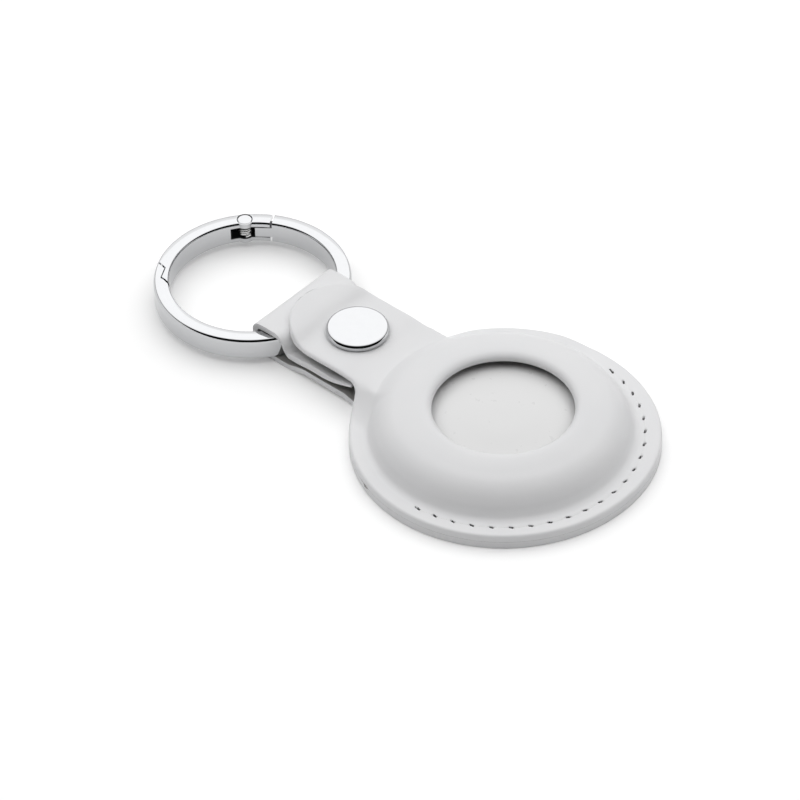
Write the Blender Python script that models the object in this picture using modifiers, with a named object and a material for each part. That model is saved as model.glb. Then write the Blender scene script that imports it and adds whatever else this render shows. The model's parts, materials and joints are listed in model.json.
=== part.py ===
"""A leather holder for a coin-shaped tracker tag, with a snap tab, a strap loop and a spring-gate ring.

The flat back of the holder lies on Z = 0 with the middle of its disc at the origin. The strap and the ring lie
toward -X. All sizes are in metres.
"""

import math

import bmesh
import bpy
from mathutils import Matrix, Vector

MILLIMETRE = 0.001

# Gaps between pieces
TOUCH_GAP = 0.0003
SHEET_GAP = 0.00015
METAL_GAP = 0.0001
OVERRUN = 0.001
WELD = 0.0000001

# Leather
LEATHER = 0.001
LOOP_LEATHER = 0.0009
FLANGE_WIDTH = 0.0025
DOME_ROOM = 0.00405
LIP_ROOM = 0.00015
WINDOW_RADIUS = 0.0104
WINDOW_X = -0.0001
DOME_X = -0.0005

# Coin-shaped tracker
TAG_RADIUS = 0.01595
TAG_HEIGHT = 0.0054
TAG_LIFT = 0.00015
TAG_WALL = 0.0007

# Seam
STITCH_INSET = 0.0019
STITCH_HALF_TURN = math.radians(85.8)
STITCHES = 22
THREAD_RADIUS = 0.0002
SLIT_LENGTH = 0.0018
SLIT_WIDTH = 0.0008
GROOVE_DEPTH = 0.0005

# Strap and tab
STRAP_HALF_WIDTH = 0.00835
NECK_FILLET = 0.0025
SNAP_FROM_NECK = 0.0074
TAB_BEYOND_SNAP = 0.0024
STRAP_END_GAP = 0.0015
LOOP_CLEARANCE = 0.0006
TAB_NECK_TOP = 0.0052

# Snap
CAP_RADIUS = 0.00475
CAP_HEIGHT = 0.0010
SHANK_RADIUS = 0.0013
SHANK_FLARE_RADIUS = 0.00175
SOCKET_RADIUS = 0.0040
SOCKET_WALL = 0.0010
SOCKET_HEIGHT = 0.00105
SOCKET_PLATE = 0.0002
SNAP_SPACE = 0.00155
STUD_BASE_RADIUS = 0.00375
STUD_BASE_THICK = 0.0002
STUD_HEIGHT = 0.00105
STUD_NECK_RADIUS = 0.0023
STUD_BEAD_RADIUS = 0.00265
STUD_WALL = 0.0004
POST_RADIUS = 0.0012
POST_HEAD_RADIUS = 0.0036
POST_HEAD_THICK = 0.0004
SOCKET_WIRE_RADIUS = 0.00017

# Ring
RING_INNER = 0.0125
RING_WIDTH = 0.0024
RING_HEIGHT = 0.0036
RING_FROM_SNAP = 0.0063
RING_NEAR_LIFT = 0.0009
RING_LOOP_GAP = 0.00008
RING_TOP_BEVEL = 0.0005
RING_SIDE_BEVEL = 0.00028
SLIT_ANGLE = math.radians(120.0)
GATE_GAP = 0.0003

# Hinge of the gate
PIN_RADIAL = 0.0135
PIN_ANGLE = math.radians(137.7)
PIN_RADIUS = 0.00055
PIN_HEAD_RADIUS = 0.0011
KNUCKLE_RADIUS = 0.00135
CHEEK = 0.0006
LUG_THICK = 0.00035
LUG_RADIUS = 0.0012
TONGUE_WIDTH = 0.0017
SLOT_RADIUS = 0.0026
GATE_WIRE_RADIUS = 0.00012
GATE_COIL_RADIUS = 0.0009
GATE_COIL_TURNS = 2
GATE_COIL_PITCH = 0.00066

# Inside the tracker
CELL_ROOM = 0.00595
CELL_HEIGHT = 0.0025
COVER_ROOM = 0.00375
COVER_THICK = 0.0004
COVER_CELL_GAP = 0.0003
TRAY_WALL = 0.0008
BOARD_THICK = 0.0004
BOARD_HOLE_RADIUS = 0.0054
CONTACT_THICK = 0.0002
CONTACT_ROOM = 0.00015
CONTACT_HALF_TURN = math.radians(20.0)
MAGNET_RADIUS = 0.0032
MAGNET_HEIGHT = 0.0005
COIL_RADIUS = 0.0044
COIL_WIDTH = 0.0008
COIL_HEIGHT = 0.0005

# Fineness of the round shapes
ROUND_STEPS = 40
SMALL_STEPS = 24
RING_STEPS = 60
STRAP_STEPS = 12
DOME_COLUMNS = 22
CONTACT_STEPS = 6

# Levels and places that follow from the sizes above
FLANGE_BOTTOM = LEATHER + TOUCH_GAP
FLANGE_TOP = FLANGE_BOTTOM + LEATHER
TAG_BOTTOM = LEATHER + TAG_LIFT
TAG_TOP = TAG_BOTTOM + TAG_HEIGHT
CELL_RADIUS = TAG_RADIUS - CELL_ROOM
COVER_RADIUS = TAG_RADIUS - COVER_ROOM
DOME_TOP = TAG_TOP + LIP_ROOM + LEATHER
DOME_FOOT_RADIUS = TAG_RADIUS + DOME_ROOM
DISC_RADIUS = DOME_FOOT_RADIUS + FLANGE_WIDTH
STITCH_RADIUS = DISC_RADIUS - STITCH_INSET
NECK_X = -math.sqrt(DISC_RADIUS**2 - STRAP_HALF_WIDTH**2)
SNAP_X = NECK_X - SNAP_FROM_NECK
TAB_END_X = SNAP_X - TAB_BEYOND_SNAP
RING_OUTER = RING_INNER + RING_WIDTH
RING_EDGE_X = SNAP_X - RING_FROM_SNAP
RING_X = RING_EDGE_X - RING_OUTER
FOLD_INNER_X = RING_X + math.sqrt(RING_INNER**2 - STRAP_HALF_WIDTH**2) - LOOP_CLEARANCE

# The stack at the snap, from the surface that the holder lies on upward
POST_HEAD_BOTTOM = METAL_GAP
STRAP_LIFT = POST_HEAD_BOTTOM + POST_HEAD_THICK + METAL_GAP
PLY_TOP = STRAP_LIFT + LEATHER
END_BOTTOM = PLY_TOP + TOUCH_GAP
END_TOP = END_BOTTOM + LEATHER
STUD_BOTTOM = END_TOP + METAL_GAP
STUD_TOP = STUD_BOTTOM + STUD_HEIGHT
TAB_BOTTOM = END_TOP + SNAP_SPACE
TAB_TOP = TAB_BOTTOM + LEATHER
SOCKET_TOP = TAB_BOTTOM - METAL_GAP
SOCKET_BOTTOM = SOCKET_TOP - SOCKET_HEIGHT

# The ring leans on the surface at its far side and on the strap in the loop
RING_SLOPE = (LOOP_LEATHER + RING_LOOP_GAP - RING_NEAR_LIFT) / (FOLD_INNER_X - RING_X + RING_OUTER)
RING_LEAN = math.atan(RING_SLOPE)
RING_MIDDLE_Z = RING_NEAR_LIFT + RING_SLOPE * RING_OUTER + RING_HEIGHT / 2
RING_LOOP_TOP = RING_MIDDLE_Z + RING_HEIGHT / 2 + RING_SLOPE * (RING_OUTER - RING_TOP_BEVEL)
LOOP_PLY_BOTTOM = RING_LOOP_TOP + RING_LOOP_GAP
LOOP_PLY_TOP = LOOP_PLY_BOTTOM + LOOP_LEATHER
TAB_TIP_TOP = LOOP_PLY_TOP + SHEET_GAP + LEATHER

# Colours: linear red, green, blue
LEATHER_COLOUR = (0.78, 0.78, 0.77)
THREAD_COLOUR = (0.86, 0.86, 0.84)
CHROME_COLOUR = (0.80, 0.81, 0.83)
STEEL_COLOUR = (0.62, 0.62, 0.61)
PLASTIC_COLOUR = (0.88, 0.88, 0.88)
BOARD_COLOUR = (0.02, 0.16, 0.07)
COPPER_COLOUR = (0.75, 0.33, 0.15)
BRASS_COLOUR = (0.70, 0.52, 0.20)


def clear_scene():
    for old in list(bpy.data.objects):
        bpy.data.objects.remove(old)


def make_collection(name):
    collection = bpy.data.collections.new(name)
    bpy.context.scene.collection.children.link(collection)
    return collection


def make_material(name, colour, roughness, metallic):
    material = bpy.data.materials.new(name)
    material.use_nodes = True
    shader = material.node_tree.nodes["Principled BSDF"]
    shader.inputs["Base Color"].default_value = (*colour, 1)
    shader.inputs["Roughness"].default_value = roughness
    shader.inputs["Metallic"].default_value = metallic
    return material


def object_from_bmesh(name, shape, collection, smooth=True):
    mesh = bpy.data.meshes.new(name)
    shape.to_mesh(mesh)
    shape.free()
    if smooth:
        mesh.shade_smooth()
    made = bpy.data.objects.new(name, mesh)
    collection.objects.link(made)
    return made


def finish(made, material):
    made.data.materials.clear()
    made.data.materials.append(material)
    return made


def add_solidify(made, thickness, offset):
    solidify = made.modifiers.new("Thickness", "SOLIDIFY")
    solidify.thickness = thickness
    solidify.offset = offset
    solidify.use_even_offset = True


def add_boolean(made, other, operation):
    cut = made.modifiers.new(other.name, "BOOLEAN")
    cut.operation = operation
    cut.solver = "EXACT"
    cut.object = other


def as_cutter(made):
    made.hide_render = True
    made.display_type = "WIRE"
    return made


def loft(name, rows, collection):
    """An open sheet through rows of points, each row with the same count."""
    shape = bmesh.new()
    grid = [[shape.verts.new(point) for point in row] for row in rows]
    for near, far in zip(grid, grid[1:]):
        for column in range(len(near) - 1):
            shape.faces.new((near[column], near[column + 1], far[column + 1], far[column]))
    return object_from_bmesh(name, shape, collection)


def turned(name, profile, collection, steps=ROUND_STEPS, x=0.0, closed=False):
    """A profile of radius and height pairs, swept round the vertical through x."""
    shape = bmesh.new()
    points = [shape.verts.new((radius, 0, height)) for radius, height in profile]
    for first, second in zip(points, points[1:]):
        shape.edges.new((first, second))
    if closed:
        shape.edges.new((points[-1], points[0]))
    made = object_from_bmesh(name, shape, collection)
    made.location.x = x
    screw = made.modifiers.new("Turn", "SCREW")
    screw.steps = steps
    screw.render_steps = steps
    screw.use_merge_vertices = True
    screw.merge_threshold = WELD
    return made


def drum(name, radius, bottom, top, collection, x=0.0, y=0.0, steps=SMALL_STEPS):
    shape = bmesh.new()
    middle = Matrix.Translation((x, y, (bottom + top) / 2))
    bmesh.ops.create_cone(
        shape, cap_ends=True, segments=steps, radius1=radius, radius2=radius, depth=top - bottom, matrix=middle
    )
    return object_from_bmesh(name, shape, collection)


def box(name, size, matrix, collection):
    shape = bmesh.new()
    bmesh.ops.create_cube(shape, size=1, matrix=matrix @ Matrix.Diagonal((*size, 1)))
    return object_from_bmesh(name, shape, collection, smooth=False)


def mesh_of(curve_object, collection):
    """The evaluated curve as a mesh object with welded caps, in place of the curve."""
    bpy.context.view_layer.update()
    graph = bpy.context.evaluated_depsgraph_get()
    mesh = bpy.data.meshes.new_from_object(curve_object.evaluated_get(graph))
    shape = bmesh.new()
    shape.from_mesh(mesh)
    bmesh.ops.remove_doubles(shape, verts=shape.verts, dist=WELD)
    shape.to_mesh(mesh)
    shape.free()
    made = bpy.data.objects.new(curve_object.name, mesh)
    made.matrix_world = curve_object.matrix_world
    collection.objects.link(made)
    bpy.data.objects.remove(curve_object)
    return made


def prism(name, outline, bottom, top, collection):
    """A flat outline of x and y pairs, filled and extruded from bottom to top."""
    curve = bpy.data.curves.new(name, "CURVE")
    curve.dimensions = "2D"
    curve.fill_mode = "BOTH"
    curve.extrude = (top - bottom) / 2
    spline = curve.splines.new("POLY")
    spline.points.add(len(outline) - 1)
    for point, (x, y) in zip(spline.points, outline):
        point.co = (x, y, 0, 1)
    spline.use_cyclic_u = True
    made = bpy.data.objects.new(name + "_outline", curve)
    made.location.z = (bottom + top) / 2
    collection.objects.link(made)
    made = mesh_of(made, collection)
    made.name = name
    return made


def wire(name, points, radius, collection, resolution=0, closed=False):
    """A tube along a list of points."""
    curve = bpy.data.curves.new(name, "CURVE")
    curve.dimensions = "3D"
    curve.bevel_depth = radius
    curve.bevel_resolution = resolution
    curve.use_fill_caps = not closed
    spline = curve.splines.new("POLY")
    spline.points.add(len(points) - 1)
    for point, place in zip(spline.points, points):
        point.co = (*place, 1)
    spline.use_cyclic_u = closed
    spline.use_smooth = True
    made = bpy.data.objects.new(name, curve)
    collection.objects.link(made)
    return made


def mix(low, high, share):
    return low + (high - low) * share


def smooth_share(value):
    value = min(max(value, 0.0), 1.0)
    return value * value * (3 - 2 * value)


def read_along(table, x):
    """The value at x in a table of x and value pairs that runs toward -X."""
    if x >= table[0][0]:
        return table[0][1]
    for (x_near, near), (x_far, far) in zip(table, table[1:]):
        if x >= x_far:
            return mix(near, far, (x - x_near) / (x_far - x_near))
    return table[-1][1]


# Shares of the way out from the window to the foot of the dome, and of the dome's height above the flange
DOME_SHARES = (
    (0.0, 1.0), (0.2, 0.965), (0.427, 0.907), (0.615, 0.796), (0.75, 0.611),
    (0.844, 0.370), (0.896, 0.167), (0.948, 0.028), (1.0, 0.0),
)
FOOT_EASE_SHARE = 0.6
OFFSET_SHARE = 0.5
NECK_RAMP = 0.0030


def neck_share(y):
    """How far the unstitched mouth has risen from the flange to the tab, at a distance y from the middle line."""
    return smooth_share((STRAP_HALF_WIDTH + NECK_RAMP - abs(y)) / NECK_RAMP)


def dome_rings():
    """Radius, centre and top height of each ring of the front panel, from the window out."""
    rings = []
    for out_share, up_share in DOME_SHARES:
        radius = mix(WINDOW_RADIUS, DOME_FOOT_RADIUS, out_share)
        centre = mix(WINDOW_X, DOME_X, min(out_share / OFFSET_SHARE, 1))
        rings.append((radius, centre, mix(FLANGE_TOP, DOME_TOP, up_share)))
    rings[-1] = (rings[-1][0], mix(DOME_X, 0, FOOT_EASE_SHARE), rings[-1][2])
    rings.append((DISC_RADIUS, 0, FLANGE_TOP))
    return rings


def dome_row(radius, centre, height, side, edge_x):
    """One ring of half the dome, from one end of its split edge to the other."""
    half_turn = math.acos(side * (edge_x - centre) / radius)
    row = []
    for column in range(DOME_COLUMNS + 1):
        angle = mix(half_turn, -half_turn, column / DOME_COLUMNS)
        x = centre + side * radius * math.cos(angle)
        row.append(Vector((x, side * radius * math.sin(angle), height)))
    return row


def make_front_panel(parts, cutters, leather):
    rows = [dome_row(*ring, 1, TOUCH_GAP / 2) for ring in dome_rings()]
    panel = finish(loft("front_panel", rows, parts), leather)
    add_solidify(panel, LEATHER, -1)
    add_boolean(panel, needle_slits("front_slits", 0, DOME_TOP, cutters), "DIFFERENCE")
    return panel


def make_front_flap(parts, leather):
    """The unstitched half: its outer edge stops at the neck, where the leather rises from the flange."""
    rows = [dome_row(*ring, -1, -TOUCH_GAP / 2) for ring in dome_rings()]
    for row in rows:
        for point in row:
            point.x = max(point.x, NECK_X + TOUCH_GAP / 2)
            if point.z < TAB_NECK_TOP and point.x < DOME_X:
                point.z = mix(point.z, TAB_NECK_TOP, neck_share(point.y))
    flap = finish(loft("front_flap", rows, parts), leather)
    add_solidify(flap, LEATHER, -1)
    return flap


def stitch_angle(hole):
    return mix(-STITCH_HALF_TURN, STITCH_HALF_TURN, hole / STITCHES)


def needle_slits(name, bottom, top, cutters):
    """One slit for each needle hole, turned to lie along the seam."""
    shape = bmesh.new()
    for hole in range(STITCHES + 1):
        turn = Matrix.Rotation(stitch_angle(hole), 4, "Z")
        place = turn @ Matrix.Translation((STITCH_RADIUS, 0, (bottom + top) / 2))
        size = Matrix.Diagonal((SLIT_WIDTH, SLIT_LENGTH, top - bottom + OVERRUN, 1))
        bmesh.ops.create_cube(shape, size=1, matrix=place @ size)
    return as_cutter(object_from_bmesh(name, shape, cutters, smooth=False))


# Places along one stitch, and how far the thread has risen out of its hole there
STITCH_SHARES = ((0.0, 0.0), (0.14, 0.45), (0.27, 1.0), (0.5, 1.0), (0.73, 1.0), (0.86, 0.45))


def thread_route(hole_height, run_height):
    points = []
    for stitch in range(STITCHES):
        for along_share, rise_share in STITCH_SHARES:
            angle = stitch_angle(stitch + along_share)
            height = mix(hole_height, run_height, rise_share)
            points.append((STITCH_RADIUS * math.cos(angle), STITCH_RADIUS * math.sin(angle), height))
    angle = stitch_angle(STITCHES)
    points.append((STITCH_RADIUS * math.cos(angle), STITCH_RADIUS * math.sin(angle), hole_height))
    return points


def make_threads(parts, thread):
    seam_middle = LEATHER + TOUCH_GAP / 2
    top_run = FLANGE_TOP + THREAD_RADIUS + METAL_GAP
    top_hole = seam_middle + THREAD_RADIUS + TOUCH_GAP / 2
    finish(wire("seam_thread_top", thread_route(top_hole, top_run), THREAD_RADIUS, parts), thread)
    low_run = THREAD_RADIUS + METAL_GAP / 2
    low_hole = seam_middle - THREAD_RADIUS - TOUCH_GAP / 2
    finish(wire("seam_thread_bobbin", thread_route(low_hole, low_run), THREAD_RADIUS, parts), thread)


NECK_COLUMN_SHARES = (-1, -0.75, -0.5, -0.25, 0, 0.25, 0.5, 0.75, 1)
FILLET_ROW_SHARES = (0, 0.34, 0.67, 1)


def fillet_centre():
    y = STRAP_HALF_WIDTH + NECK_FILLET
    return -math.sqrt((DISC_RADIUS + NECK_FILLET) ** 2 - y**2), y


def fillet_point(share):
    """A point of the fillet between the disc and the strap's edge, from the disc (0) to the strap (1)."""
    centre_x, centre_y = fillet_centre()
    start = math.atan2(-centre_y, -centre_x)
    angle = mix(start, -math.pi / 2, share)
    return centre_x + NECK_FILLET * math.cos(angle), centre_y + NECK_FILLET * math.sin(angle)


def strap_lift(x):
    """Height of the lower ply's underside, which rises to clear the head of the snap's post."""
    rise_end = SNAP_X + POST_HEAD_RADIUS + TOUCH_GAP
    return STRAP_LIFT * smooth_share((x + DISC_RADIUS) / (rise_end + DISC_RADIUS))


def back_rows():
    """Rows of points across the strap, the first of them on the disc's edge."""
    rows = []
    start = -DISC_RADIUS - OVERRUN
    for number, row_share in enumerate(FILLET_ROW_SHARES):
        edge_x, edge_y = fillet_point(row_share)
        row = []
        for column_share in NECK_COLUMN_SHARES:
            y = edge_y * column_share
            x = mix(-math.sqrt(DISC_RADIUS**2 - y**2), start, number / len(FILLET_ROW_SHARES))
            if abs(column_share) == 1:
                x = edge_x
            row.append((x, y, LEATHER + strap_lift(x)))
        rows.append(row)
    stop = loop_root_x() + TOUCH_GAP / 2
    for step in range(STRAP_STEPS + 1):
        x = mix(start, stop, step / STRAP_STEPS)
        height = LEATHER + strap_lift(x)
        rows.append([(x, STRAP_HALF_WIDTH * share, height) for share in NECK_COLUMN_SHARES])
    return rows


def make_back_panel(parts, cutters, leather):
    """The disc as one flat face, with the strap's rows grown from its edge at the neck."""
    shape = bmesh.new()
    rows = back_rows()
    grid = [[shape.verts.new(point) for point in row] for row in rows]
    for near, far in zip(grid, grid[1:]):
        for column in range(len(near) - 1):
            shape.faces.new((near[column], near[column + 1], far[column + 1], far[column]))
    first, last = grid[0][0].co, grid[0][-1].co
    start = math.atan2(last.y, last.x)
    stop = math.atan2(first.y, first.x)
    rim = []
    for step in range(1, ROUND_STEPS):
        angle = mix(start, stop, step / ROUND_STEPS)
        rim.append(shape.verts.new((DISC_RADIUS * math.cos(angle), DISC_RADIUS * math.sin(angle), LEATHER)))
    shape.faces.new(list(reversed(grid[0] + rim)))
    shape.normal_update()
    panel = finish(object_from_bmesh("back_panel", shape, parts), leather)
    add_solidify(panel, LEATHER, -1)
    groove_profile = (
        (STITCH_RADIUS + SLIT_WIDTH / 2, GROOVE_DEPTH),
        (STITCH_RADIUS + SLIT_WIDTH / 2, -OVERRUN),
        (STITCH_RADIUS - SLIT_WIDTH / 2, -OVERRUN),
        (STITCH_RADIUS - SLIT_WIDTH / 2, GROOVE_DEPTH),
    )
    groove = arc_bar("thread_groove", groove_profile, STITCH_HALF_TURN * (1 + 1 / STITCHES), cutters)
    add_boolean(panel, as_cutter(groove), "DIFFERENCE")
    add_boolean(panel, needle_slits("back_slits", 0, LEATHER, cutters), "DIFFERENCE")
    hole = drum("post_hole_low", POST_RADIUS + METAL_GAP, -OVERRUN, PLY_TOP + OVERRUN, cutters, SNAP_X)
    add_boolean(panel, as_cutter(hole), "DIFFERENCE")
    return panel


def arc_bar(name, profile, half_turn, collection, steps=ROUND_STEPS):
    """A closed profile of radius and height pairs, swept through half_turn to each side of +X."""
    shape = bmesh.new()
    rings = []
    for step in range(steps + 1):
        angle = mix(-half_turn, half_turn, step / steps)
        rings.append([shape.verts.new((r * math.cos(angle), r * math.sin(angle), z)) for r, z in profile])
    for near, far in zip(rings, rings[1:]):
        for corner in range(len(profile)):
            after = (corner + 1) % len(profile)
            shape.faces.new((near[corner], near[after], far[after], far[corner]))
    shape.faces.new(list(reversed(rings[0])))
    shape.faces.new(rings[-1])
    bmesh.ops.recalc_face_normals(shape, faces=shape.faces)
    return object_from_bmesh(name, shape, collection, smooth=False)


LOOP_COLUMN_SHARES = (-1, -0.8, -0.55, -0.28, 0, 0.28, 0.55, 0.8, 1)
FOLD_STEPS = 10
FOLD_ROUND_SHARE = 0.45
LOOP_ROOT_SHARE = 0.22
EDGE_FOLLOW_SHARE = 0.8


def loop_root_x():
    """Where the strap starts to bend with the ring, under the edge of the snap's cap."""
    return mix(RING_EDGE_X, SNAP_X, LOOP_ROOT_SHARE)


def ring_drop(y):
    """How much farther toward -X the ring's outer edge lies at y than on the middle line."""
    return EDGE_FOLLOW_SHARE * (RING_OUTER - math.sqrt(RING_OUTER**2 - y**2))


def fold_arc():
    """Centre and radius of the fold's middle line."""
    low = LOOP_LEATHER / 2
    high = LOOP_PLY_BOTTOM + LOOP_LEATHER / 2
    radius = (high - low) / 2
    return FOLD_INNER_X - LOOP_LEATHER / 2 + radius, (low + high) / 2, radius


# Along the ply that comes back over the ring: shares of the way from the ring's edge to the snap's post, shares
# of the way down from over the ring to the strap's end, and how far the ply follows the ring's curve
RETURN_SHARES = (
    (-0.50, 0.0, 0.0), (-0.30, 0.0, 0.5), (-0.10, 0.0, 0.95), (0.0, 0.05, 1.0), (0.112, 0.31, 1.0),
    (0.165, 0.60, 1.0),
)
END_SHARES = ((0.20, 0.77, 0.9), (0.27, 0.96, 0.7), (0.35, 1.0, 0.5), (0.55, 1.0, 0.2), (0.80, 1.0, 0.0))


def return_point(x_share, down_share, follow_share, y):
    high = LOOP_PLY_BOTTOM + LOOP_LEATHER / 2
    low = END_BOTTOM + LEATHER / 2
    x = mix(RING_EDGE_X, SNAP_X, x_share) - ring_drop(y) * follow_share
    return x, y, mix(high, low, down_share)


def make_strap_loop(parts, leather):
    """The stretch that wraps the ring: out under it, up round the fold and back over it."""
    centre_x, centre_z, radius = fold_arc()
    columns = []
    for column_share in LOOP_COLUMN_SHARES:
        y = STRAP_HALF_WIDTH * column_share
        root = loop_root_x() - TOUCH_GAP / 2
        under = RING_EDGE_X
        half = LOOP_LEATHER / 2
        points = [
            (root, y, STRAP_LIFT + half),
            ((root + under) / 2, y, STRAP_LIFT / 2 + half),
            (under, y, half),
        ]
        for step in range(FOLD_STEPS + 1):
            angle = mix(-math.pi / 2, math.pi / 2, step / FOLD_STEPS)
            out = radius * math.cos(angle) ** FOLD_ROUND_SHARE
            up = radius * math.copysign(abs(math.sin(angle)) ** FOLD_ROUND_SHARE, angle)
            points.append((centre_x - out, y, centre_z + up))
        points += [return_point(*shares, y) for shares in RETURN_SHARES]
        columns.append(points)
    loop = finish(loft("strap_loop", columns, parts), leather)
    add_solidify(loop, LOOP_LEATHER, 0)
    return loop


END_RISE = 0.0009


def make_strap_end(parts, cutters, leather):
    """The strap's free end, held under the stud and rising again toward the neck."""
    columns = []
    flat = END_BOTTOM + LEATHER / 2
    stop = NECK_X - STRAP_END_GAP
    rise_start = SNAP_X + STUD_BASE_RADIUS + TOUCH_GAP
    for column_share in LOOP_COLUMN_SHARES:
        y = STRAP_HALF_WIDTH * column_share
        points = [return_point(*shares, y) for shares in END_SHARES]
        for step in range(STRAP_STEPS + 1):
            x = mix(SNAP_X, stop, step / STRAP_STEPS)
            rise = END_RISE * smooth_share((x - rise_start) / (stop - rise_start))
            points.append((x, y, flat + rise))
        columns.append(points)
    end = finish(loft("strap_end", columns, parts), leather)
    add_solidify(end, LEATHER, 0)
    hole = drum("post_hole_high", POST_RADIUS + METAL_GAP, 0, TAB_BOTTOM, cutters, SNAP_X)
    add_boolean(end, as_cutter(hole), "DIFFERENCE")
    return end


# Shares of the way from the snap to the tab's tip, and of the tab's rise over the loop
TAB_RISE_SHARES = (
    (0.0, 0.0), (0.30, 0.0), (0.38, 0.03), (0.44, 0.20), (0.485, 0.60), (0.53, 0.90), (0.58, 1.0), (1.0, 1.0),
)
TAB_ROUND_SHARES = (0.2, 0.4, 0.6, 0.76, 0.88, 0.96, 0.99)
RISE_END_SHARE = 0.55
NECK_CORNER_SHARE = 0.4


def tab_height(x):
    tip = TAB_END_X - STRAP_HALF_WIDTH
    start_x = NECK_X - TOUCH_GAP
    table = [(start_x, TAB_NECK_TOP), (mix(start_x, SNAP_X, RISE_END_SHARE), TAB_TOP)]
    table += [(mix(SNAP_X, tip, along), mix(TAB_TOP, TAB_TIP_TOP, up)) for along, up in TAB_RISE_SHARES]
    return read_along(table, x)


def make_front_tab(parts, cutters, leather):
    """The round-ended tab, rising over the loop. Its rows start at the neck."""
    edges = [fillet_point(share) for share in FILLET_ROW_SHARES[1:]]
    places = [(x, y) for x, y in edges if x < NECK_X - TOUCH_GAP / 2]
    places.insert(0, (NECK_X - TOUCH_GAP / 2, mix(STRAP_HALF_WIDTH, fillet_point(0)[1], NECK_CORNER_SHARE)))
    for step in range(1, STRAP_STEPS):
        places.append((mix(edges[-1][0], TAB_END_X, step / STRAP_STEPS), STRAP_HALF_WIDTH))
    places.append((TAB_END_X, STRAP_HALF_WIDTH))
    for share in TAB_ROUND_SHARES:
        half_width = STRAP_HALF_WIDTH * math.sqrt(1 - share**2)
        places.append((TAB_END_X - STRAP_HALF_WIDTH * share, half_width))
    rows = [[(x, half * share, tab_height(x)) for share in LOOP_COLUMN_SHARES] for x, half in places]
    tab = finish(loft("front_tab", rows, parts), leather)
    add_solidify(tab, LEATHER, -1)
    hole = drum("shank_hole", SHANK_RADIUS + METAL_GAP, END_TOP, DOME_TOP + OVERRUN, cutters, SNAP_X)
    add_boolean(tab, as_cutter(hole), "DIFFERENCE")
    return tab


CAP_EDGE_SHARE = 0.93
CAP_SHOULDER_SHARE = 0.25
CAP_FOOT_SHARE = 0.45
CAP_SEAT_SHARE = 0.72


def make_snap_cap(parts, chrome):
    bottom = TAB_TOP + METAL_GAP
    top = bottom + CAP_HEIGHT
    plate_bottom = SOCKET_TOP - SOCKET_PLATE
    flare_top = plate_bottom - METAL_GAP / 2
    flare_bottom = flare_top - SOCKET_PLATE
    profile = (
        (0, top),
        (CAP_RADIUS * CAP_EDGE_SHARE, top),
        (CAP_RADIUS, mix(top, bottom, CAP_SHOULDER_SHARE)),
        (CAP_RADIUS, mix(bottom, top, CAP_FOOT_SHARE)),
        (CAP_RADIUS * CAP_SEAT_SHARE, bottom),
        (SHANK_RADIUS, bottom),
        (SHANK_RADIUS, flare_top),
        (SHANK_FLARE_RADIUS, flare_top),
        (SHANK_FLARE_RADIUS, flare_bottom),
        (0, flare_bottom),
    )
    return finish(turned("snap_cap", profile, parts, x=SNAP_X), chrome)


def make_snap_socket(parts, chrome):
    hole = SHANK_RADIUS + METAL_GAP
    inner = SOCKET_RADIUS - SOCKET_WALL
    profile = (
        (hole, SOCKET_TOP),
        (SOCKET_RADIUS, SOCKET_TOP),
        (SOCKET_RADIUS, SOCKET_BOTTOM),
        (inner, SOCKET_BOTTOM),
        (inner, SOCKET_TOP - SOCKET_PLATE),
        (hole, SOCKET_TOP - SOCKET_PLATE),
    )
    return finish(turned("snap_socket", profile, parts, SMALL_STEPS, SNAP_X, closed=True), chrome)


SOCKET_SPRING_GAP = math.radians(35.0)


def make_socket_spring(parts, steel):
    """A split ring of wire just inside the socket's mouth, under the stud's bead."""
    radius = SOCKET_RADIUS - SOCKET_WALL - METAL_GAP / 2 - SOCKET_WIRE_RADIUS
    height = SOCKET_BOTTOM + SOCKET_WIRE_RADIUS + METAL_GAP / 2
    points = []
    for step in range(SMALL_STEPS + 1):
        angle = mix(SOCKET_SPRING_GAP / 2, 2 * math.pi - SOCKET_SPRING_GAP / 2, step / SMALL_STEPS)
        points.append((SNAP_X + radius * math.cos(angle), radius * math.sin(angle), height))
    return finish(wire("socket_spring", points, SOCKET_WIRE_RADIUS, parts), steel)


BEAD_LOW_SHARE = 0.68
BEAD_HIGH_SHARE = 0.88
NECK_LOW_SHARE = 0.25


def make_snap_stud(parts, chrome):
    inner = STUD_NECK_RADIUS - STUD_WALL
    hole = POST_RADIUS + METAL_GAP
    plate_top = STUD_BOTTOM + STUD_BASE_THICK
    profile = (
        (inner, STUD_TOP),
        (STUD_NECK_RADIUS, STUD_TOP),
        (STUD_BEAD_RADIUS, mix(STUD_BOTTOM, STUD_TOP, BEAD_HIGH_SHARE)),
        (STUD_BEAD_RADIUS, mix(STUD_BOTTOM, STUD_TOP, BEAD_LOW_SHARE)),
        (STUD_NECK_RADIUS, mix(plate_top, STUD_TOP, NECK_LOW_SHARE)),
        (STUD_NECK_RADIUS, plate_top),
        (STUD_BASE_RADIUS, plate_top),
        (STUD_BASE_RADIUS, STUD_BOTTOM),
        (hole, STUD_BOTTOM),
        (hole, plate_top),
        (inner, plate_top),
    )
    return finish(turned("snap_stud", profile, parts, SMALL_STEPS, SNAP_X, closed=True), chrome)


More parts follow.
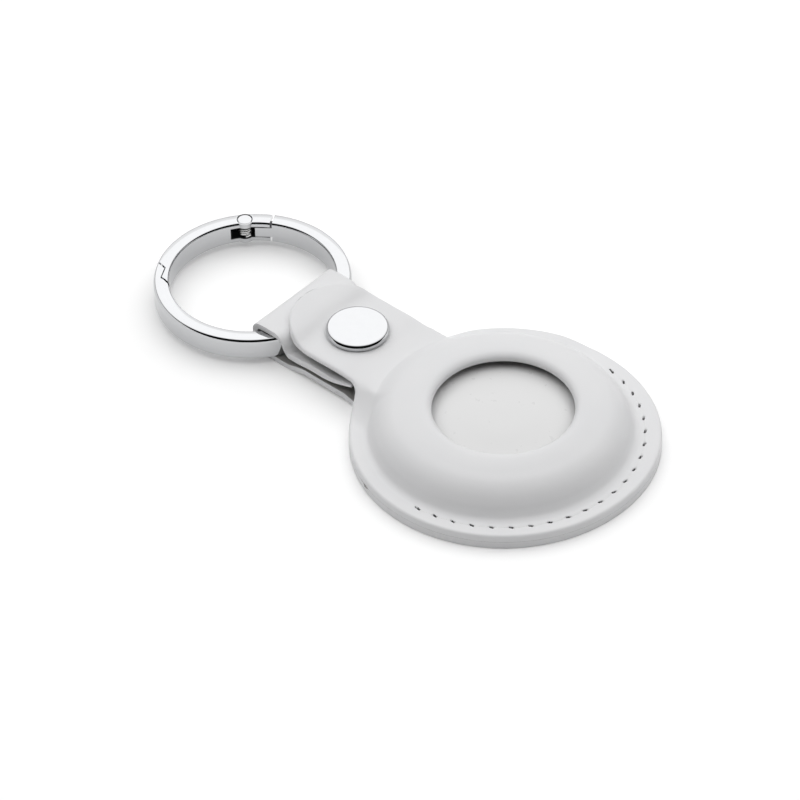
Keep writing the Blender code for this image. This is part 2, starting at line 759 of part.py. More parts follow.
def make_snap_post(parts, chrome):
    """A headed rivet from underneath, spread over inside the stud."""
    top = STUD_BOTTOM + STUD_BASE_THICK + METAL_GAP / 2
    head_top = POST_HEAD_BOTTOM + POST_HEAD_THICK
    spread = (POST_RADIUS + STUD_NECK_RADIUS - STUD_WALL) / 2
    profile = (
        (0, top + STUD_BASE_THICK),
        (spread, top + STUD_BASE_THICK),
        (spread, top),
        (POST_RADIUS, top),
        (POST_RADIUS, head_top),
        (POST_HEAD_RADIUS, head_top),
        (POST_HEAD_RADIUS, POST_HEAD_BOTTOM),
        (0, POST_HEAD_BOTTOM),
    )
    return finish(turned("snap_post", profile, parts, SMALL_STEPS, SNAP_X), chrome)


def ring_frame():
    """The ring's own frame: its middle, leaning down toward its far side."""
    return Matrix.Translation((RING_X, 0, RING_MIDDLE_Z)) @ Matrix.Rotation(-RING_LEAN, 4, "Y")


def polar(radius, angle):
    return radius * math.cos(angle), radius * math.sin(angle)


# The latch's stepped cut: shares of the ring's width out from its inner side, and angles round the ring
LATCH_WIDTH_SHARES = (1.2, 0.80, 0.36, 0.51, 0.29, -0.11, -0.2)
LATCH_ANGLES = tuple(math.radians(angle) for angle in (207.6, 208.2, 212.1, 221.5, 223.7, 231.7, 232.4))


def gate_outline(shift, grow):
    """The gate's region seen from above, with its latch cut shifted along and across the ring by a gap."""
    far = RING_OUTER + RING_WIDTH
    near = RING_INNER - RING_WIDTH
    start = SLIT_ANGLE - shift / RING_INNER
    points = [polar(near, start), polar(far, start)]
    latch = [
        (mix(RING_INNER, RING_OUTER, share) + grow, angle + shift / RING_INNER)
        for share, angle in zip(LATCH_WIDTH_SHARES, LATCH_ANGLES)
    ]
    for step in range(1, STRAP_STEPS):
        points.append(polar(far, mix(start, latch[0][1], step / STRAP_STEPS)))
    points.append(polar(far, latch[0][1]))
    points += [polar(radius, angle) for radius, angle in latch]
    points.append(polar(near, latch[-1][1]))
    for step in range(1, STRAP_STEPS):
        points.append(polar(near, mix(latch[-1][1], start, step / STRAP_STEPS)))
    return points


def ring_solid(name, collection):
    """The whole ring before it is cut, square in section with bevelled edges."""
    half = RING_HEIGHT / 2
    profile = (
        (RING_INNER + RING_SIDE_BEVEL, half),
        (RING_OUTER - RING_TOP_BEVEL, half),
        (RING_OUTER, half - RING_TOP_BEVEL),
        (RING_OUTER, RING_TOP_BEVEL - half),
        (RING_OUTER - RING_TOP_BEVEL, -half),
        (RING_INNER + RING_SIDE_BEVEL, -half),
        (RING_INNER, RING_SIDE_BEVEL - half),
        (RING_INNER, half - RING_SIDE_BEVEL),
    )
    return turned(name, profile, collection, RING_STEPS, closed=True)


def pin_place():
    return polar(PIN_RADIAL, PIN_ANGLE)


def make_ring_body(parts, cutters, chrome):
    """The fixed part of the ring, with the tongue and lug that carry the gate's pin."""
    body = finish(ring_solid("ring_body", parts), chrome)
    half = RING_HEIGHT / 2
    region = prism("gate_space", gate_outline(GATE_GAP / 2, GATE_GAP / 2), -half - OVERRUN, half + OVERRUN, cutters)
    add_boolean(body, as_cutter(region), "DIFFERENCE")
    slot_half = half - CHEEK - SHEET_GAP
    pin = Vector((*pin_place(), 0))
    root = Vector((*polar(PIN_RADIAL + RING_SIDE_BEVEL, SLIT_ANGLE - TONGUE_WIDTH / RING_INNER), 0))
    along = pin - root
    turn = Matrix.Rotation(math.atan2(along.y, along.x), 4, "Z")
    lug_bottom = -slot_half
    lug_middle = lug_bottom + LUG_THICK / 2
    bar_place = Matrix.Translation(root + along / 2 + Vector((0, 0, lug_middle))) @ turn
    bar = box("lug_bar", (along.length, TONGUE_WIDTH, LUG_THICK), bar_place, cutters)
    add_boolean(body, as_cutter(bar), "UNION")
    tall_length = along.length - GATE_COIL_RADIUS - GATE_WIRE_RADIUS - TOUCH_GAP
    tall_place = Matrix.Translation(root + along.normalized() * tall_length / 2) @ turn
    tall = box("tongue", (tall_length, TONGUE_WIDTH + METAL_GAP, 2 * slot_half - METAL_GAP), tall_place, cutters)
    add_boolean(body, as_cutter(tall), "UNION")
    eye_top = lug_bottom + LUG_THICK + METAL_GAP / 2
    eye = drum("lug_eye", LUG_RADIUS, lug_bottom - METAL_GAP / 2, eye_top, cutters, pin.x, pin.y)
    add_boolean(body, as_cutter(eye), "UNION")
    bore = drum("lug_bore", PIN_RADIUS + METAL_GAP, -half, half, cutters, pin.x, pin.y)
    add_boolean(body, as_cutter(bore), "DIFFERENCE")
    return body


def make_ring_gate(parts, cutters, chrome):
    """The part that swings inward: a forked knuckle at the pin, and half of the latch at the other end."""
    gate = finish(ring_solid("ring_gate", parts), chrome)
    half = RING_HEIGHT / 2
    pin_x, pin_y = pin_place()
    region = prism("gate_region", gate_outline(-GATE_GAP / 2, -GATE_GAP / 2), -half - OVERRUN, half + OVERRUN, cutters)
    add_boolean(gate, as_cutter(region), "INTERSECT")
    knuckle_half = half - METAL_GAP
    knuckle = drum("knuckle", KNUCKLE_RADIUS, -knuckle_half, knuckle_half, cutters, pin_x, pin_y)
    add_boolean(gate, as_cutter(knuckle), "UNION")
    slot_half = half - CHEEK
    slot = drum("spring_slot", SLOT_RADIUS, -slot_half, slot_half, cutters, pin_x, pin_y)
    add_boolean(gate, as_cutter(slot), "DIFFERENCE")
    reach = PIN_RADIAL * (PIN_ANGLE - SLIT_ANGLE) + OVERRUN
    turn = Matrix.Rotation(PIN_ANGLE - math.pi / 2, 4, "Z")
    middle = Matrix.Translation((pin_x, pin_y, 0)) @ turn @ Matrix.Translation((reach / 2, 0, 0))
    corridor = box("tongue_slot", (reach, 2 * RING_WIDTH, 2 * slot_half - METAL_GAP), middle, cutters)
    add_boolean(gate, as_cutter(corridor), "DIFFERENCE")
    head_hole = drum("pin_head_hole", PIN_HEAD_RADIUS + METAL_GAP, 0, half + OVERRUN, cutters, pin_x, pin_y)
    add_boolean(gate, as_cutter(head_hole), "DIFFERENCE")
    shaft_hole = drum("pin_hole", PIN_RADIUS + METAL_GAP, -half - OVERRUN, half, cutters, pin_x, pin_y)
    add_boolean(gate, as_cutter(shaft_hole), "DIFFERENCE")
    return gate


def make_gate_pin(parts, steel):
    half = RING_HEIGHT / 2
    head_bottom = half - CHEEK
    profile = (
        (0, half),
        (PIN_HEAD_RADIUS, half),
        (PIN_HEAD_RADIUS, head_bottom),
        (PIN_RADIUS, head_bottom),
        (PIN_RADIUS, -half),
        (0, -half),
    )
    pin = finish(turned("gate_pin", profile, parts, SMALL_STEPS), steel)
    pin.location = (*pin_place(), 0)
    return pin


LEG_SHARES = (0.5, 1.0)
COIL_POINTS = 10


def gate_spring_route():
    """A short torsion coil round the pin: one leg points along the gate, the other toward the tongue."""
    pin_x, pin_y = pin_place()
    low = CHEEK - RING_HEIGHT / 2 + LUG_THICK + SHEET_GAP + METAL_GAP + GATE_WIRE_RADIUS
    first = PIN_ANGLE + math.pi
    steps = GATE_COIL_TURNS * COIL_POINTS
    coil = []
    for step in range(steps + 1):
        angle = first + 2 * math.pi * step / COIL_POINTS
        height = low + GATE_COIL_PITCH * step / COIL_POINTS
        x, y = polar(GATE_COIL_RADIUS, angle)
        coil.append(Vector((pin_x + x, pin_y + y, height)))
    leg = GATE_COIL_RADIUS
    level = Vector((1, 1, 0))
    low_way = ((coil[0] - coil[1]) * level).normalized()
    high_way = ((coil[-1] - coil[-2]) * level).normalized()
    low_leg = [coil[0] + low_way * leg * share for share in reversed(LEG_SHARES)]
    high_leg = [coil[-1] + high_way * leg * share for share in LEG_SHARES]
    return low_leg + coil + high_leg


def least_self_gap(points, radius):
    """The smallest gap of a tube to itself, between points that lie more than half a turn apart along it."""
    apart = COIL_POINTS // 2
    gaps = [
        (points[first] - points[second]).length
        for first in range(len(points))
        for second in range(first + apart, len(points))
    ]
    return min(gaps) - 2 * radius


def make_gate_spring(parts, steel):
    route = gate_spring_route()
    gap = least_self_gap(route, GATE_WIRE_RADIUS) / MILLIMETRE
    print(f"gate_spring least gap to itself: {gap:.2f} mm")
    return finish(wire("gate_spring", route, GATE_WIRE_RADIUS, parts, resolution=1), steel)


# Shares of the tracker's radius and of its height, down the outside of the shell
SHELL_SHARES = (
    (0.0, 1.0), (0.33, 0.98), (0.627, 0.889), (0.82, 0.79), (0.915, 0.66), (0.975, 0.47), (1.0, 0.32), (1.0, 0.21),
)


def shell_outside():
    return [(share * TAG_RADIUS, TAG_BOTTOM + TAG_HEIGHT * up) for share, up in SHELL_SHARES]


def shell_inside():
    """The outside moved in by the wall, square to its slope."""
    outside = shell_outside()
    inside = [(0, outside[0][1] - TAG_WALL)]
    for before, here, after in zip(outside, outside[1:], outside[2:]):
        along = Vector((after[0] - before[0], after[1] - before[1])).normalized()
        inside.append((here[0] + along.y * TAG_WALL, here[1] - along.x * TAG_WALL))
    inside.append((TAG_RADIUS - TAG_WALL, outside[-1][1]))
    return inside


def shell_height(radius):
    """Height of the shell's underside at a radius."""
    table = shell_inside()
    for (near, high), (far, low) in zip(table, table[1:]):
        if radius <= far:
            return mix(high, low, (radius - near) / (far - near))
    return table[-1][1]


def shell_radius(height):
    """Radius of the shell's inside at a height."""
    table = shell_inside()
    for (near, high), (far, low) in zip(table, table[1:]):
        if height >= low:
            return mix(near, far, (high - height) / (high - low))
    return table[-1][0]


def make_tag_shell(parts, plastic):
    profile = shell_outside() + list(reversed(shell_inside()))
    return finish(turned("tag_shell", profile, parts), plastic)


def cell_bottom():
    return TAG_BOTTOM + COVER_THICK + COVER_CELL_GAP


def board_bottom():
    return cell_bottom() + CELL_HEIGHT + SHEET_GAP


def well_radius():
    return CELL_RADIUS + CONTACT_ROOM + CONTACT_THICK + CONTACT_ROOM


TRAY_CORNER_SHARE = 0.55


def make_tag_tray(parts, plastic):
    """The lower half: an outer skirt round the steel lid, and the wall of the battery well."""
    well = well_radius()
    shelf = TAG_BOTTOM + COVER_THICK + SHEET_GAP
    skirt = COVER_RADIUS + TOUCH_GAP
    shell_bottom = TAG_BOTTOM + TAG_HEIGHT * SHELL_SHARES[-1][1]
    outer = TAG_RADIUS - TAG_WALL - SHEET_GAP
    rebate = shell_bottom + TRAY_WALL / 2
    middle = mix(TAG_BOTTOM, shell_bottom, TRAY_CORNER_SHARE)
    profile = (
        (well, board_bottom() - SHEET_GAP / 2),
        (well + TRAY_WALL, board_bottom() - SHEET_GAP / 2),
        (well + TRAY_WALL, rebate),
        (outer, rebate),
        (outer, middle),
        (mix(skirt, outer, TRAY_CORNER_SHARE), TAG_BOTTOM),
        (skirt, TAG_BOTTOM),
        (skirt, shelf),
        (well, shelf),
    )
    return finish(turned("tag_tray", profile, parts, closed=True), plastic)


def make_plate(name, radius, bottom, height, parts, material, hole=0.0, steps=SMALL_STEPS):
    """A round plate or ring."""
    top = bottom + height
    profile = ((hole, top), (radius, top), (radius, bottom), (hole, bottom))
    return finish(turned(name, profile, parts, steps, closed=hole > 0), material)


def make_battery_contact(parts, brass):
    inner = CELL_RADIUS + CONTACT_ROOM
    outer = inner + CONTACT_THICK
    bottom = cell_bottom() + CONTACT_ROOM
    top = cell_bottom() + CELL_HEIGHT - CONTACT_ROOM
    profile = ((outer, top), (outer, bottom), (inner, bottom), (inner, top))
    strip = arc_bar("battery_contact", profile, CONTACT_HALF_TURN, parts, CONTACT_STEPS)
    return finish(strip, brass)


def make_tag_inside(parts, board, copper, steel, brass):
    board_radius = shell_radius(board_bottom() + BOARD_THICK) - TOUCH_GAP
    make_plate("circuit_board", board_radius, board_bottom(), BOARD_THICK, parts, board, BOARD_HOLE_RADIUS)
    make_plate("speaker_magnet", MAGNET_RADIUS, board_bottom(), MAGNET_HEIGHT, parts, steel)
    coil_top = shell_height(COIL_RADIUS) - SHEET_GAP
    coil_hole = COIL_RADIUS - COIL_WIDTH
    make_plate("speaker_coil", COIL_RADIUS, coil_top - COIL_HEIGHT, COIL_HEIGHT, parts, copper, coil_hole)
    make_plate("coin_cell", CELL_RADIUS, cell_bottom(), CELL_HEIGHT, parts, steel)
    make_plate("tag_cover", COVER_RADIUS, TAG_BOTTOM, COVER_THICK, parts, steel, steps=ROUND_STEPS)
    make_battery_contact(parts, brass)


def make_empty(name, matrix, collection):
    empty = bpy.data.objects.new(name, None)
    empty.matrix_world = matrix
    collection.objects.link(empty)
    return empty


def hang(children, parent):
    """Parents the children, which stay where they are."""
    bpy.context.view_layer.update()
    for child in children:
        child.parent = parent
        child.matrix_parent_inverse = parent.matrix_world.inverted()


def place_joints(parts):
    """An empty on each joint's axis carries the pieces that turn about it."""
    here = bpy.data.objects
    flap_axis = make_empty("flap_axis", Matrix.Translation((0, 0, DOME_TOP)), parts)
    tab_axis = make_empty("tab_axis", Matrix.Translation((NECK_X, 0, TAB_NECK_TOP)), parts)
    loop_axis = make_empty("loop_axis", Matrix.Translation((loop_root_x(), 0, PLY_TOP)), parts)
    tag_axis = make_empty("tag_axis", Matrix.Translation((0, 0, TAG_BOTTOM)), parts)
    ring_axis = make_empty("ring_axis", ring_frame(), parts)
    gate_axis = make_empty("gate_axis", ring_frame() @ Matrix.Translation((*pin_place(), 0)), parts)
    ring_cutters = (
        "gate_space", "lug_bar", "tongue", "lug_eye", "lug_bore", "gate_region", "knuckle", "spring_slot",
        "tongue_slot", "pin_head_hole", "pin_hole",
    )
    for name in ("ring_body", "ring_gate", "gate_pin", "gate_spring", *ring_cutters):
        here[name].matrix_world = ring_frame() @ here[name].matrix_world
    hang([here["front_flap"], tab_axis], flap_axis)
    hang([here[name] for name in ("front_tab", "snap_cap", "snap_socket", "socket_spring")], tab_axis)
    hang([here["strap_loop"], ring_axis], loop_axis)
    hang([here["ring_body"], gate_axis], ring_axis)
    hang([here[name] for name in ("ring_gate", "gate_pin", "gate_spring")], gate_axis)
    tag_names = (
        "tag_shell", "tag_tray", "circuit_board", "speaker_magnet", "speaker_coil", "coin_cell", "tag_cover",
        "battery_contact",
    )
    hang([here[name] for name in tag_names], tag_axis)


def main():
    clear_scene()
    parts = make_collection("tracker_tag_holder")
    cutters = make_collection("cutters")
    leather = make_material("white_leather", LEATHER_COLOUR, 0.55, 0.0)
    thread = make_material("seam_thread", THREAD_COLOUR, 0.8, 0.0)
    chrome = make_material("bright_nickel", CHROME_COLOUR, 0.12, 1.0)
    steel = make_material("spring_steel", STEEL_COLOUR, 0.3, 1.0)
    plastic = make_material("white_plastic", PLASTIC_COLOUR, 0.25, 0.0)
    board = make_material("board_green", BOARD_COLOUR, 0.5, 0.0)
    copper = make_material("copper_wire", COPPER_COLOUR, 0.35, 1.0)
    brass = make_material("contact_brass", BRASS_COLOUR, 0.3, 1.0)
    make_back_panel(parts, cutters, leather)
    make_strap_loop(parts, leather)
    make_strap_end(parts, cutters, leather)
    make_front_panel(parts, cutters, leather)
    make_front_flap(parts, leather)
    make_front_tab(parts, cutters, leather)
    make_threads(parts, thread)
    make_snap_cap(parts, chrome)
    make_snap_socket(parts, chrome)
    make_socket_spring(parts, steel)
    make_snap_stud(parts, chrome)
    make_snap_post(parts, chrome)
    make_ring_body(parts, cutters, chrome)
    make_ring_gate(parts, cutters, chrome)
    make_gate_pin(parts, steel)
    make_gate_spring(parts, steel)
    make_tag_shell(parts, plastic)
    make_tag_tray(parts, plastic)
    make_tag_inside(parts, board, copper, steel, brass)
    bpy.context.view_layer.update()
    place_joints(parts)


main()
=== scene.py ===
"""Looks of a leather holder for a coin-shaped tracker tag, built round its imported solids.

Places and sizes are in metres, in the frame of the solids: the flat back lies on Z = 0, the middle of the
disc is the origin, and the strap and the ring lie toward -X.
"""

import json
import logging
import math
from collections.abc import Callable
from dataclasses import dataclass
from enum import Enum

import bmesh
import bpy
import numpy as np
from mathutils import Matrix, Vector


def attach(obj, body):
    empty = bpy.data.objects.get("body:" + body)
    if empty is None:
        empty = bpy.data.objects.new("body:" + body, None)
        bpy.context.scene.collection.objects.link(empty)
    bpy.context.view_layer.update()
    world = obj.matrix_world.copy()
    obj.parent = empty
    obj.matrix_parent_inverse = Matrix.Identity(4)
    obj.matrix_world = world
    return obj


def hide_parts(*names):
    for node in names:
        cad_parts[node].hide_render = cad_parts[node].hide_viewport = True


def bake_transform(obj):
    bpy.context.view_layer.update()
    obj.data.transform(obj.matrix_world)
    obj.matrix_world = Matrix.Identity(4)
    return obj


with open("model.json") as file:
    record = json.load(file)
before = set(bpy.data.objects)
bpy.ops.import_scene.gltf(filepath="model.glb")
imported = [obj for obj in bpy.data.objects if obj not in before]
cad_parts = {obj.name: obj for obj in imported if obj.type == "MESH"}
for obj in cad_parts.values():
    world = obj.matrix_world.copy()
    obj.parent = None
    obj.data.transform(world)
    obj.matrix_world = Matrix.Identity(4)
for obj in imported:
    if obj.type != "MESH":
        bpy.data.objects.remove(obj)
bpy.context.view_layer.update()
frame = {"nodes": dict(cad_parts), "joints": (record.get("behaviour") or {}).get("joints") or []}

LOG = logging.getLogger("holder")
REST_PLACE = "rest_place"
WELD = 1e-6
SHARP_ANGLE = math.radians(50)
CURVE_STEPS = 16
BEVEL_STEPS = 4
# Degrees between two faces beyond which their edge is shaded sharp
LEATHER_SHADE = 60.0
TURNED_SHADE = 50.0
MILLED_SHADE = 28.0
# The part of the noise's range that is spread over the whole of a finish's range
NOISE_RANGE = (0.3, 0.7)
# Share of a twisted thread's radius that the grooves between its plies take away
PLY_GROOVE = 0.12


class Cut(Enum):
    """The Boolean operations that shape the metal."""

    JOIN = "UNION"
    TAKE = "DIFFERENCE"
    KEEP = "INTERSECT"


class Place(Enum):
    """Where a finish reads its texture places from."""

    REST = "rest"
    OBJECT = "object"


def mix(low: float, high: float, share: float) -> float:
    """The value a share of the way from low to high."""
    return low + (high - low) * share


def ease(value: np.ndarray | float) -> np.ndarray | float:
    """A smooth step from 0 to 1."""
    value = np.clip(value, 0.0, 1.0)
    return value * value * (3 - 2 * value)


def ramp(value: np.ndarray | float, start: float, length: float) -> np.ndarray | float:
    """A smooth step from 0 at start to 1 a length further on."""
    return ease((value - start) / length)


def rows_of(x: np.ndarray | float, y: np.ndarray | float, z: np.ndarray | float) -> np.ndarray:
    """Points as rows of x, y and z, where each is an array or one number for all of them."""
    return np.stack(np.broadcast_arrays(x, y, z), axis=1)


def ring_of(radius: np.ndarray | float, angles: np.ndarray, height: float) -> np.ndarray:
    """Points round the vertical at one height."""
    return rows_of(radius * np.cos(angles), radius * np.sin(angles), height)


def run_along(points: np.ndarray) -> np.ndarray:
    """The distance of each point from the first, along the line through them."""
    return np.concatenate([[0], np.cumsum(np.linalg.norm(np.diff(points, axis=0), axis=1))])


def smooth_curve(table: list[tuple[float, ...]] | tuple, count: int) -> np.ndarray:
    """Points along a smooth curve through a table of points.

    Args:
        table: The points that the curve goes through.
        count: How many points to return.

    Returns:
        An array of count points, evenly spaced along the curve.
    """
    points = np.array(table, float)
    points = np.vstack([2 * points[0] - points[1], points, 2 * points[-1] - points[-2]])
    fine = []
    for before, start, stop, after in zip(points, points[1:], points[2:], points[3:]):
        spans = (start - before, stop - start, after - stop)
        first, span, last = (max(float(np.linalg.norm(way)), 1e-9) for way in spans)
        near = span * ((start - before) / first - (stop - before) / (first + span)) + (stop - start)
        far = span * ((after - stop) / last - (after - start) / (span + last)) + (stop - start)
        for step in range(CURVE_STEPS):
            t = step / CURVE_STEPS
            fine.append(
                (2 * t**3 - 3 * t**2 + 1) * start
                + (t**3 - 2 * t**2 + t) * near
                + (3 * t**2 - 2 * t**3) * stop
                + (t**3 - t**2) * far
            )
    fine.append(points[-2])
    fine = np.array(fine)
    along = run_along(fine)
    wanted = np.linspace(0, along[-1], count)
    return np.stack([np.interp(wanted, along, fine[:, axis]) for axis in range(fine.shape[1])], axis=1)


def object_of(name: str, points: np.ndarray, faces: list[tuple[int, ...]]) -> bpy.types.Object:
    """A mesh object from points and faces, linked to the scene.

    Args:
        name: The piece's name.
        points: One row of x, y and z for each point.
        faces: Tuples of point numbers.

    Returns:
        The new object.
    """
    mesh = bpy.data.meshes.new(name)
    mesh.from_pydata([tuple(map(float, point)) for point in points], [], faces)
    mesh.validate()
    made = bpy.data.objects.new(name, mesh)
    bpy.context.scene.collection.objects.link(made)
    return made


def weld(made: bpy.types.Object, outward: bool = True) -> bpy.types.Object:
    """Joins points that coincide, and turns the faces outward.

    Args:
        made: The mesh object to change.
        outward: Whether to make the normals agree and point outward.

    Returns:
        The same object.
    """
    shape = bmesh.new()
    shape.from_mesh(made.data)
    bmesh.ops.remove_doubles(shape, verts=shape.verts, dist=WELD)
    if outward:
        bmesh.ops.recalc_face_normals(shape, faces=shape.faces)
    shape.to_mesh(made.data)
    shape.free()
    return made


def settle(made: bpy.types.Object) -> bpy.types.Object:
    """Applies the modifiers of a mesh object."""
    bpy.context.view_layer.update()
    graph = bpy.context.evaluated_depsgraph_get()
    mesh = bpy.data.meshes.new_from_object(made.evaluated_get(graph))
    made.modifiers.clear()
    made.data = mesh
    return made


def smooth(made: bpy.types.Object, degrees: float) -> bpy.types.Object:
    """Shades a mesh smooth, with sharp edges where faces meet at more than an angle."""
    made.data.shade_smooth()
    made.data.set_sharp_from_angle(angle=math.radians(degrees))
    return made


def keep_rest_places(made: bpy.types.Object) -> None:
    """Stores each point's place at rest, so that the finish doesn't slide when the piece bends."""
    count = len(made.data.vertices)
    places = np.zeros(count * 3, np.float32)
    made.data.vertices.foreach_get("co", places)
    attribute = made.data.attributes.new(REST_PLACE, "FLOAT_VECTOR", "POINT")
    attribute.data.foreach_set("vector", places)


def paint(made: bpy.types.Object, *materials: bpy.types.Material) -> bpy.types.Object:
    """Gives a piece its materials, in the order of its faces' numbers."""
    if made.data.materials:
        made.data.materials.clear()
    for material in materials:
        made.data.materials.append(material)
    return made


def lathe(name: str, profile: np.ndarray, steps: int, closed: bool) -> bpy.types.Object:
    """A profile of radius and height pairs turned round the vertical.

    Args:
        name: The piece's name.
        profile: Radius and height pairs; an open profile starts and ends on the axis.
        steps: Faces round the turn.
        closed: Whether the profile is a loop.

    Returns:
        The new object.
    """
    angles = np.arange(steps) * 2 * math.pi / steps
    points = np.vstack([ring_of(radius, angles, height) for radius, height in profile])
    faces = []
    last = len(profile) if closed else len(profile) - 1
    for ring in range(last):
        low = ring * steps
        high = (ring + 1) % len(profile) * steps
        for step in range(steps):
            after = (step + 1) % steps
            faces.append((low + step, low + after, high + after, high + step))
    return weld(object_of(name, points, faces))


def tube(
    name: str, route: np.ndarray, radius: float, sides: int, plies: int = 0, lay: float = 0.001
) -> bpy.types.Object:
    """A round or twisted tube along a route, with closed ends.

    Args:
        name: The piece's name.
        route: Points along the middle of the tube.
        radius: The tube's radius.
        sides: Faces round the tube.
        plies: How many plies are twisted together, 0 for plain wire.
        lay: The length of one turn of the twist.

    Returns:
        The new object.
    """
    ways = np.gradient(route, axis=0)
    ways /= np.linalg.norm(ways, axis=1)[:, None]
    side = np.cross(ways[0], (0.0, 0.0, 1.0))
    side /= np.linalg.norm(side)
    points = []
    for place, way, distance in zip(route, ways, run_along(route)):
        side = side - way * (side @ way)
        side /= np.linalg.norm(side)
        other = np.cross(way, side)
        for corner in range(sides):
            angle = 2 * math.pi * corner / sides
            twist = plies * (angle - 2 * math.pi * distance / lay)
            reach = radius * (1 - PLY_GROOVE + PLY_GROOVE * math.cos(twist)) if plies else radius
            points.append(place + reach * (side * math.cos(angle) + other * math.sin(angle)))
    faces = []
    for row in range(len(route) - 1):
        for corner in range(sides):
            after = (corner + 1) % sides
            low, high = row * sides, (row + 1) * sides
            faces.append((low + corner, low + after, high + after, high + corner))
    faces.append(tuple(reversed(range(sides))))
    faces.append(tuple(range((len(route) - 1) * sides, len(route) * sides)))
    return weld(object_of(name, np.array(points), faces))


def grid_faces(start: int, rows: int, columns: int, wrap: bool) -> list[tuple[int, int, int, int]]:
    """Faces over a grid of points.

    Args:
        start: The number of the grid's first point.
        rows: How many rows the grid has.
        columns: How many points a row has.
        wrap: Whether each row is a ring.

    Returns:
        The faces as tuples of point numbers.
    """
    faces = []
    for row in range(rows - 1):
        for at in range(columns if wrap else columns - 1):
            after = (at + 1) % columns
            low, high = start + row * columns, start + (row + 1) * columns
            faces.append((low + at, high + at, high + after, low + after))
    return faces


def block(name: str, outline: np.ndarray, bottom: float, top: float) -> bpy.types.Object:
    """A flat outline of x and y pairs, made solid from bottom to top."""
    count = len(outline)
    points = [(x, y, height) for height in (bottom, top) for x, y in outline]
    faces = [tuple(range(count)), tuple(range(count, 2 * count))]
    faces += [(at, (at + 1) % count, (at + 1) % count + count, at + count) for at in range(count)]
    return weld(object_of(name, np.array(points), faces))


def post(
    name: str, x: float, y: float, radius: float, bottom: float, top: float, steps: int = 64
) -> bpy.types.Object:
    """A round upright block."""
    angles = np.arange(steps) * 2 * math.pi / steps
    return block(name, ring_of(radius, angles, 0.0)[:, :2] + (x, y), bottom, top)


def shape_with(made: bpy.types.Object, tool: bpy.types.Object, cut: Cut) -> bpy.types.Object:
    """Applies one Boolean and removes its tool."""
    modifier = made.modifiers.new("cut", "BOOLEAN")
    modifier.operation = cut.value
    modifier.solver = "EXACT"
    modifier.object = tool
    settle(made)
    bpy.data.objects.remove(tool)
    return made


def round_edges(made: bpy.types.Object, width: float, weight_of: Callable[[Vector, Vector], float]) -> None:
    """Rounds the sharp edges of a mesh, each by its own weight.

    Args:
        made: The mesh object to change.
        width: How far a full weight cuts back.
        weight_of: Gives an edge's weight, from its middle and the sum of its faces' normals.
    """
    shape = bmesh.new()
    shape.from_mesh(made.data)
    layer = shape.edges.layers.float.new("bevel_weight_edge")
    for edge in shape.edges:
        if edge.is_manifold and edge.calc_face_angle() > SHARP_ANGLE:
            middle = (edge.verts[0].co + edge.verts[1].co) / 2
            edge[layer] = weight_of(middle, edge.link_faces[0].normal + edge.link_faces[1].normal)
    shape.to_mesh(made.data)
    shape.free()
    bevel = made.modifiers.new("edge", "BEVEL")
    bevel.width = width
    bevel.segments = BEVEL_STEPS
    bevel.limit_method = "WEIGHT"
    bevel.material = 0
    settle(made)


